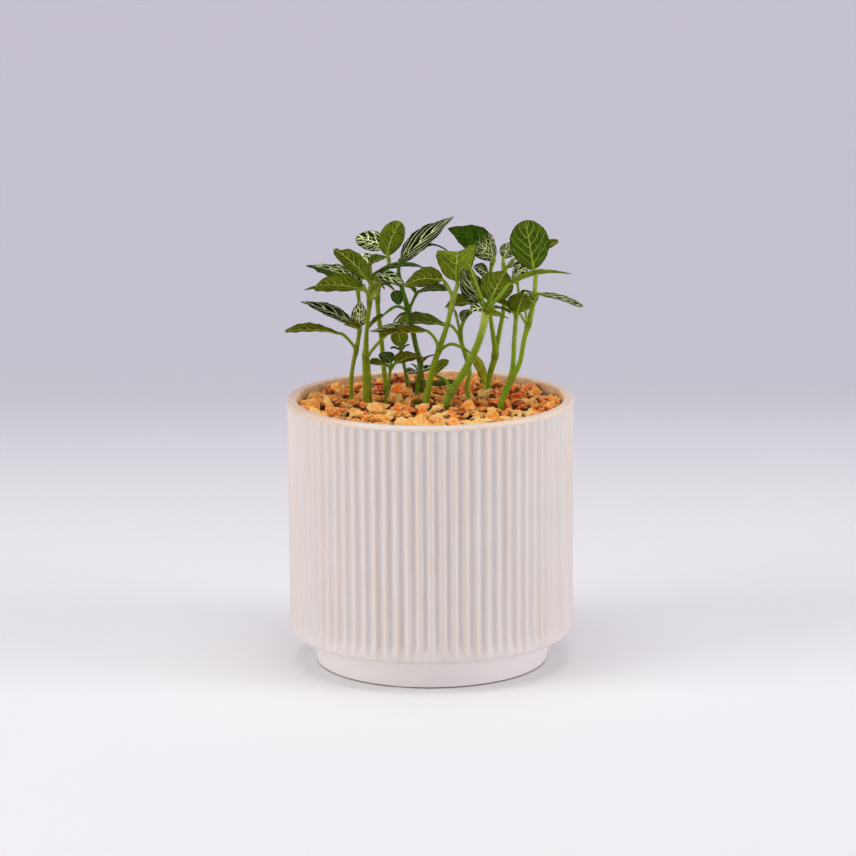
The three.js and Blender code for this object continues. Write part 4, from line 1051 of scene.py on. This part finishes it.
def new_group(name, inputs, outputs):
    """A shader node group with vector and number inputs (with a default) and number outputs"""
    tree = bpy.data.node_groups.new(name, "ShaderNodeTree")
    for socket, default in inputs.items():
        kind = "NodeSocketVector" if default is None else "NodeSocketFloat"
        feed(tree.interface.new_socket(socket, in_out="INPUT", socket_type=kind), default)
    for socket in outputs:
        tree.interface.new_socket(socket, in_out="OUTPUT", socket_type="NodeSocketFloat")
    return tree, tree.nodes.new("NodeGroupInput").outputs, tree.nodes.new("NodeGroupOutput").inputs


def use_group(group, feeds):
    return node("Group", feeds, node_tree=group).outputs


def vein_pattern():
    """Where a leaf's veins lie: midrib, side veins and the net between them, from its own coordinates"""
    group, given, out = new_group("vein pattern", {
        "Place": None, "Course": None, "Share": None, "Vein Width": 0.4, "Wander": 0.35,
    }, ("Midrib", "Side Veins", "Painted Vein Shade", "Net", "Margin"))
    _, across, seed = split(given["Place"])
    phase, spacing, cell = split(given["Course"])
    share, off_middle, rake = split(given["Share"])
    width = given["Vein Width"]

    wobble = node("TexNoise", {"Vector": given["Place"], "Scale": 0.45, "Detail": 1.0}).outputs["Fac"]
    wandered = maths("MULTIPLY_ADD", maths("SUBTRACT", wobble, 0.5), times(given["Wander"], 4.0), phase)

    off_rib = maths("ABSOLUTE", across)
    from_rib = ratio(off_rib, times(width, between(share, 0.0, 1.0, 0.95, 0.35)))
    feed(out["Midrib"], between(from_rib, 0.6, 1.0, 1.0, 0.0))

    # The two halves' side veins don't meet. They are thinner outwards and where they lie close together.
    half_shift = times(maths("GREATER_THAN", across, 0.0), 0.22)
    turns = maths("ADD", ratio(wandered, spacing), half_shift)
    off_vein = times(maths("ABSOLUTE", maths("SUBTRACT", maths("FRACT", turns), 0.5)), spacing)
    room = between(ratio(spacing, rake), 0.8, 2.6, 0.45, 1.0)
    side_width = times(times(width, between(off_middle, 0.0, 1.0, 0.75, 0.4)), room)
    from_vein = ratio(ratio(off_vein, rake), side_width)
    side_veins = between(from_vein, 0.5, 1.0, 1.0, 0.0)
    feed(out["Side Veins"], times(side_veins, between(off_middle, 0.9, 1.0, 1.0, 0.3)))
    # A band along the midrib and side veins, which the finishes darken as painted shade beside the veins
    feed(out["Painted Vein Shade"], between(maths("MINIMUM", from_rib, from_vein), 0.9, 2.6, 1.0, 0.0))

    # The net's meshes lie along the side veins, and each half has its own
    layer = maths("ADD", seed, times(maths("SIGN", across), 9.0))
    spot = node("CombineXYZ", {0: ratio(wandered, rake), 1: off_rib, 2: layer}).outputs[0]
    mesh = node("CombineXYZ", {0: cell, 1: cell, 2: 1.0}).outputs[0]
    spot = node("VectorMath", {0: spot, 1: mesh}, operation="DIVIDE").outputs[0]
    net = node("TexVoronoi", {"Vector": spot, "Scale": 1.0, "Randomness": 0.85}, feature="DISTANCE_TO_EDGE")
    net_width = times(width, between(off_middle, 0.0, 1.0, 0.44, 0.34))
    net_lines = between(ratio(times(net.outputs["Distance"], cell), net_width), 0.35, 1.0, 1.0, 0.0)
    feed(out["Net"], times(net_lines, between(rake, 2.0, 4.0, 1.0, 0.3)))
    feed(out["Margin"], between(off_middle, 0.88, 1.0))
    return group


def specks():
    """Small scattered dark dots"""
    group, given, out = new_group(
        "specks", {"Vector": None, "Scale": 400.0, "Size": 0.12, "Share": 0.1}, ("Dots",))
    cells = node("TexVoronoi", {"Vector": given["Vector"], "Scale": given["Scale"]}).outputs
    shown = maths("LESS_THAN", split(cells["Color"])[0], given["Share"])
    near = ratio(cells["Distance"], given["Size"])
    feed(out["Dots"], times(between(near, 0.6, 1.0, 1.0, 0.0), shown))
    return group


def grain():
    """Fine unevenness of a surface as a height, coarse and fine together"""
    group, given, out = new_group("fine grain", {
        "Vector": None, "Coarse Scale": 300.0, "Fine Scale": 1500.0, "Fine Share": 0.4}, ("Height",))
    coarse = mottle(given["Vector"], given["Coarse Scale"])
    fine = mottle(given["Vector"], given["Fine Scale"], 4.0, 0.7)
    feed(out["Height"], maths("MULTIPLY_ADD", fine, given["Fine Share"], coarse))
    return group


VEINS = vein_pattern()
SPECKS = specks()
GRAIN = grain()


def veins_in(tree, width, wander):
    places = {name: attribute(tree, name.lower()) for name in ("Place", "Course", "Share")}
    return use_group(VEINS, {**places, "Vein Width": width, "Wander": wander})


def specks_on(place, scale, size, share):
    return use_group(SPECKS, {"Vector": place, "Scale": scale, "Size": size, "Share": share})["Dots"]


def grain_on(place, coarse, fine, share):
    feeds = {"Vector": place, "Coarse Scale": coarse, "Fine Scale": fine, "Fine Share": share}
    return use_group(GRAIN, feeds)["Height"]


def new_finish(name):
    """A new material with its tree and a position in metres"""
    material = bpy.data.materials.new(name)
    material.use_nodes = True
    where = material.node_tree.nodes.new("ShaderNodeTexCoord").outputs["Object"]
    return material, material.node_tree, where


def finish_with(material, colour, roughness, specular=None, height=None, depth=None, strength=1.0):
    """Gives a material's shader its colour, its sheen and a fine relief of this depth in metres"""
    shader = material.node_tree.nodes["Principled BSDF"]
    feed(shader.inputs["Base Color"], colour)
    feed(shader.inputs["Roughness"], roughness)
    feed(shader.inputs["Specular IOR Level"], specular)
    if height is not None:
        bump = node("Bump", {"Height": height, "Distance": depth, "Strength": strength})
        feed(shader.inputs["Normal"], bump.outputs["Normal"])
    return material


def satin_glaze():
    """Pale beige: warmer where it thins on the crests and the lip, sandy inside, bare under the foot"""
    material, tree, where = new_finish("satin beige glaze")
    crest, height, _ = split(attribute(tree, "look"))
    x, y, z = split(where)
    stretched = node("VectorMath", {0: where, 1: (1.0, 1.0, 0.05)}, operation="MULTIPLY").outputs[0]
    streaks = mottle(stretched, 420.0)
    clouds = mottle(where, 45.0)
    thin_glaze = times(between(crest, 0.72, 1.0), between(streaks, 0.35, 0.6, 0.25, 0.8))
    thin_glaze = times(thin_glaze, between(height, 13.0, 24.0))
    # Painted light: the foot is made paler, as if lit from below by the pale floor
    foot_painted_light = between(height, FOOT_HEIGHT + 0.5, FOOT_HEIGHT - 0.5)
    on_lip = times(between(height, RIB_TOP + 0.1, RIB_TOP + 0.7), between(clouds, 0.3, 0.7, 0.5, 1.0))
    lip = colour_range(between(x, -0.06, 0.06), [
        (0.0, (220, 184, 156)), (0.09, (226, 196, 172)), (0.22, (236, 222, 210)),
        (0.55, (238, 220, 204)), (0.8, (238, 212, 188)), (1.0, (234, 208, 182))])
    out = maths("SQRT", maths("ADD", times(x, x), times(y, y)))
    inside = times(between(out, 0.0568, 0.0560), between(height, 20.0, 100.0))
    sand = between(mottle(where, 260.0, 5.0, 0.7), 0.4, 0.62)
    dots = specks_on(where, 260.0, 0.09, 0.035)
    bare = times(between(z, 0.0007, 0.0003), between(clouds, 0.2, 0.45, 0.5, 1.0))
    body = coated(
        srgb(220, 212, 209),
        (between(streaks, 0.42, 0.7), srgb(218, 205, 198)),
        (between(clouds, 0.35, 0.75, 0.0, 0.3), srgb(210, 200, 197)),
        (thin_glaze, srgb(222, 202, 186)),
        (between(crest, 0.4, 0.0, 0.0, 0.35), srgb(200, 189, 184)),
        # painted light on the foot
        (foot_painted_light, srgb(236, 228, 226)),
        (on_lip, lip),
        (inside, mixed(sand, srgb(250, 222, 182), srgb(232, 186, 136))),
        (times(dots, 0.55), srgb(120, 100, 88)),
        (bare, srgb(96, 66, 52)))
    roughness = between(streaks, 0.3, 0.7, 0.36, 0.5)
    relief = grain_on(where, 130.0, 1400.0, 0.12)
    return finish_with(material, body, roughness, None, relief, 0.00018, 0.6)


def moist_soil():
    material, _, where = new_finish("moist potting soil")
    crumbs = mottle(where, 500.0, 5.0, 0.7)
    colour = colour_range(crumbs, [(0.3, (24, 15, 10)), (0.55, (58, 38, 24)), (0.8, (104, 74, 48))])
    return finish_with(material, colour, 0.95, None, crumbs, 0.0015)


def dry_chip():
    """Rough orange stone: edges pale from wear and a painted highlight, pitted, and painted shade towards
    its lower parts
    """
    material, tree, where = new_finish("dry orange stone chip")
    tint, edge, painted_chip_shade = split(attribute(tree, "look"))
    patches = mottle(where, 420.0, 4.0, 0.6)
    fine = mottle(where, 1700.0, 3.0, 0.7)
    picked = maths("MULTIPLY_ADD", maths("SUBTRACT", patches, 0.5), 0.5, tint)
    colour = colour_range(picked, [
        (0.0, (172, 42, 8)), (0.2, (246, 98, 16)), (0.42, (255, 156, 52)),
        (0.62, (255, 194, 98)), (0.82, (255, 222, 152)), (1.0, (255, 240, 202))])
    # Pale edges are partly wear and partly a painted highlight
    worn_and_highlit_edge = times(between(edge, 0.55, 1.0), between(fine, 0.35, 0.65, 0.25, 0.95))
    pits = between(fine, 0.46, 0.3, 0.0, 0.45)
    # The dark red towards each chip's lower parts is painted shade, deepest in the gaps between chips
    colour = coated(
        colour, (worn_and_highlit_edge, srgb(255, 226, 160)), (pits, srgb(160, 52, 6)),
        (times(painted_chip_shade, 0.88), srgb(84, 12, 0)))
    roughness = between(fine, 0.2, 0.8, 0.95, 0.75)
    return finish_with(material, colour, roughness, 0.1, grain_on(where, 600.0, 2200.0, 0.5), 0.0005)


def grit_painted_as_shade():
    material, _, where = new_finish("grit painted as shade between the chips")
    crumbs = mottle(where, 700.0, 4.0, 0.7)
    # Near-black red-brown: painted shade for the depths between the chips
    colour = colour_range(crumbs, [(0.3, (22, 6, 2)), (0.6, (64, 18, 5)), (0.85, (124, 46, 12))])
    return finish_with(material, colour, 0.95, 0.1, crumbs, 0.001)


def stem_skin():
    """Green skin in long streaks, brownish at the joints, specked, and under pale felt at the top"""
    material, tree, where = new_finish("green stem skin")
    tint, joint, felt = split(attribute(tree, "look"))
    place = attribute(tree, "place")
    along, around, seed = split(place)
    stretched = node("CombineXYZ", {0: times(along, 0.25), 1: around, 2: seed}).outputs[0]
    streaks = mottle(stretched, 1.6)
    clouds = mottle(place, 0.16)
    colour = colour_range(tint, [
        (0.0, (100, 108, 8)), (0.4, (130, 152, 20)), (0.65, (116, 154, 20)), (0.9, (64, 112, 18))])
    colour = coated(
        colour,
        (between(streaks, 0.42, 0.68, 0.0, 0.5), srgb(160, 176, 36)),
        (between(clouds, 0.5, 0.75, 0.0, 0.6), srgb(78, 98, 14)),
        (times(joint, 0.55), srgb(94, 88, 22)),
        (times(felt, between(streaks, 0.3, 0.6, 0.45, 0.85)), srgb(206, 214, 106)),
        (times(specks_on(place, 1.3, 0.16, 0.12), 0.8), srgb(34, 30, 14)))
    roughness = between(streaks, 0.2, 0.8, 0.42, 0.6)
    return finish_with(material, colour, roughness, 0.08, grain_on(where, 900.0, 3000.0, 0.3), 0.0002)


def netted_upper():
    """Dark green with a pale net, or plainer and lighter where the net is weak"""
    material, tree, _ = new_finish("netted upper side")
    net_strength, _, fade = split(attribute(tree, "look"))
    place = attribute(tree, "place")
    share = split(attribute(tree, "share"))[0]
    leaf_seed = maths("FRACT", split(place)[2])
    veins = veins_in(tree, 0.32, 0.5)
    patches = between(mottle(place, 0.35), 0.35, 0.7)
    kept = maths("SUBTRACT", 1.0, times(between(share, 0.22, 0.45), fade))
    strength = times(net_strength, kept)
    plain = mixed(patches, srgb(31, 51, 4), srgb(53, 76, 8))
    netted = mixed(patches, srgb(8, 21, 1), srgb(21, 42, 3))
    net = times(veins["Net"], between(mottle(place, 0.6), 0.3, 0.6, 0.6, 1.0))
    bold = maths("MAXIMUM", veins["Midrib"], veins["Side Veins"])
    all_veins = maths("MAXIMUM", bold, net)
    pale = mixed(bold, srgb(242, 249, 160), srgb(255, 255, 206))
    colour = coated(
        plain,
        (between(strength, 0.05, 0.6), netted),
        (times(leaf_seed, 0.25), srgb(48, 76, 10)),
        # painted shade beside the veins
        (times(veins["Painted Vein Shade"], 0.4), srgb(10, 22, 2)),
        (times(bold, 0.35), srgb(104, 144, 40)),
        (maths("MULTIPLY", all_veins, strength, clamp=True), pale),
        (times(veins["Margin"], 0.6), srgb(20, 54, 12)))
    relief = maths("MULTIPLY_ADD", mottle(place, 4.0), 0.25, times(all_veins, -1.0))
    return finish_with(material, colour, 0.45, 0.01, relief, 0.00018)


def pale_underside():
    """Softer and yellower than the upper side, with raised veins that are only a little lighter"""
    material, tree, _ = new_finish("leaf underside")
    tint = split(attribute(tree, "look"))[1]
    place = attribute(tree, "place")
    veins = veins_in(tree, 0.5, 0.4)
    # The last stop is painted light: a lime far paler than an underside's own colour
    base = colour_range(tint, [
        (BROWN, (116, 102, 12)), (OLIVE, (96, 110, 14)), (YELLOW, (124, 146, 24)),
        (GREEN, (74, 110, 12)), (DEEP, (66, 98, 6)), (LIME_PAINTED_LIGHT, (196, 198, 44))])
    base = mixed(between(mottle(place, 0.3), 0.35, 0.7, 0.0, 0.62), base, srgb(36, 54, 4))
    light = mixed(0.62, base, srgb(196, 208, 92))
    bold = maths("MAXIMUM", veins["Midrib"], times(veins["Side Veins"], 0.7))
    lines = maths("MAXIMUM", bold, times(veins["Net"], 0.16))
    # The band beside the veins is darkened as painted shade
    colour = coated(
        base, (times(veins["Painted Vein Shade"], 0.62), srgb(26, 40, 3)), (lines, light),
        (times(veins["Margin"], 0.6), srgb(32, 54, 8)))
    relief = maths("MULTIPLY_ADD", mottle(place, 4.0), 0.25, lines)
    return finish_with(material, colour, 0.5, 0.015, relief, 0.00022)


def silvery_fuzz():
    material, _, where = new_finish("silvery fuzz")
    colour = mixed(mottle(where, 900.0), srgb(184, 194, 84), srgb(230, 236, 164))
    return finish_with(material, colour, 0.5, 0.1)


# Stage: the camera's place is in millimetres, the rest in metres

CAMERA_PLACE = (-0.97, -1400.0, 404.3)
CAMERA_PITCH = math.radians(12.29)
CAMERA_ROLL = 0.0065
SENSOR = 36.0
LENS = 143.49
FLOOR_FRONT = -3.0
FLOOR_BACK = 0.55
WALL_BEND = 0.35
WALL_HEIGHT = 2.6
STAGE_HALF_WIDTH = 3.0
PLANT_MIDDLE = (0, 0, 0.1)
# Name, place, aim, width and height, power and colour of each light
SOFTBOXES = (
    ("left softbox", (-1.2, -0.5, 0.6), PLANT_MIDDLE, (0.8, 1.0), 10.0, (1, 0.99, 0.98)),
    ("right softbox", (1.25, -0.4, 0.5), PLANT_MIDDLE, (0.6, 1.0), 9.2, (0.98, 0.98, 1)),
    ("top softbox", (0.0, -0.15, 1.3), PLANT_MIDDLE, (1.1, 0.9), 7.0, (1, 1, 1)),
    ("low front softbox", (0.0, -1.7, 0.12), (0, 0, 0.03), (1.2, 0.2), 1.6, (1, 1, 1)),
)


def photo_camera():
    """The camera as it stood for the photo: a little rolled, looking down at the plant"""
    forward = Vector((0, math.cos(CAMERA_PITCH), -math.sin(CAMERA_PITCH)))
    level = Vector((1, 0, 0))
    right = (level - level.cross(forward) * CAMERA_ROLL).normalized()
    turned = Matrix((right, right.cross(forward), -forward)).transposed().to_4x4()
    data = bpy.data.cameras.new("photo camera")
    data.sensor_width = SENSOR
    data.lens = LENS
    data.clip_end = 20
    camera = bpy.data.objects.new("photo camera", data)
    camera.matrix_world = Matrix.Translation(Vector(CAMERA_PLACE) * MM) @ turned
    bpy.context.scene.collection.objects.link(camera)
    bpy.context.scene.camera = camera


def pale_stage():
    """A floor that bends up into a backdrop"""
    line = [(FLOOR_FRONT, 0.0), (FLOOR_BACK, 0.0)]
    for turn in np.linspace(0, math.pi / 2, 16)[1:]:
        line.append((FLOOR_BACK + WALL_BEND * math.sin(turn), WALL_BEND * (1 - math.cos(turn))))
    line.append((FLOOR_BACK + WALL_BEND, WALL_HEIGHT))
    points = [(x, y, z) for y, z in line for x in (-STAGE_HALF_WIDTH, STAGE_HALF_WIDTH)]
    faces = [(2 * i, 2 * i + 1, 2 * i + 3, 2 * i + 2) for i in range(len(line) - 1)]
    mesh = bpy.data.meshes.new("pale_stage")
    mesh.from_pydata(points, [], faces)
    mesh.polygons.foreach_set("use_smooth", [True] * len(faces))
    material, _, where = new_finish("pale stage")
    far = between(split(where)[1], 0.1, FLOOR_BACK + WALL_BEND)
    mesh.materials.append(finish_with(material, mixed(far, srgb(240, 239, 240), srgb(199, 194, 207)), 0.8))
    stage = bpy.data.objects.new("pale_stage", mesh)
    bpy.context.scene.collection.objects.link(stage)


def soft_light(name, place, aim, size, power, colour):
    data = bpy.data.lights.new(name, "AREA")
    data.shape = "RECTANGLE"
    data.size, data.size_y = size
    data.energy = power
    data.color = colour
    lamp = bpy.data.objects.new(name, data)
    lamp.location = place
    lamp.rotation_euler = (Vector(aim) - Vector(place)).to_track_quat("-Z", "Y").to_euler()
    bpy.context.scene.collection.objects.link(lamp)


def studio_light():
    bpy.context.scene.view_settings.view_transform = "Standard"
    for softbox in SOFTBOXES:
        soft_light(*softbox)
    world = bpy.data.worlds.new("studio")
    world.use_nodes = True
    background = world.node_tree.nodes["Background"]
    background.inputs["Color"].default_value = (0.93, 0.93, 1.0, 1)
    background.inputs["Strength"].default_value = 0.3
    bpy.context.scene.world = world


photo_camera()
studio_light()
pale_stage()
ribbed_pot(satin_glaze())
stone_chips([dry_chip(), grit_painted_as_shade()])
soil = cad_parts["potting_soil"]
soil.data.materials.clear()
soil.data.materials.append(moist_soil())
plant_finishes = [stem_skin(), netted_upper(), pale_underside(), silvery_fuzz()]
for stem_number, stem_data in enumerate(LEAFY_STEMS):
    leafy_stem(stem_data, stem_number, plant_finishes)
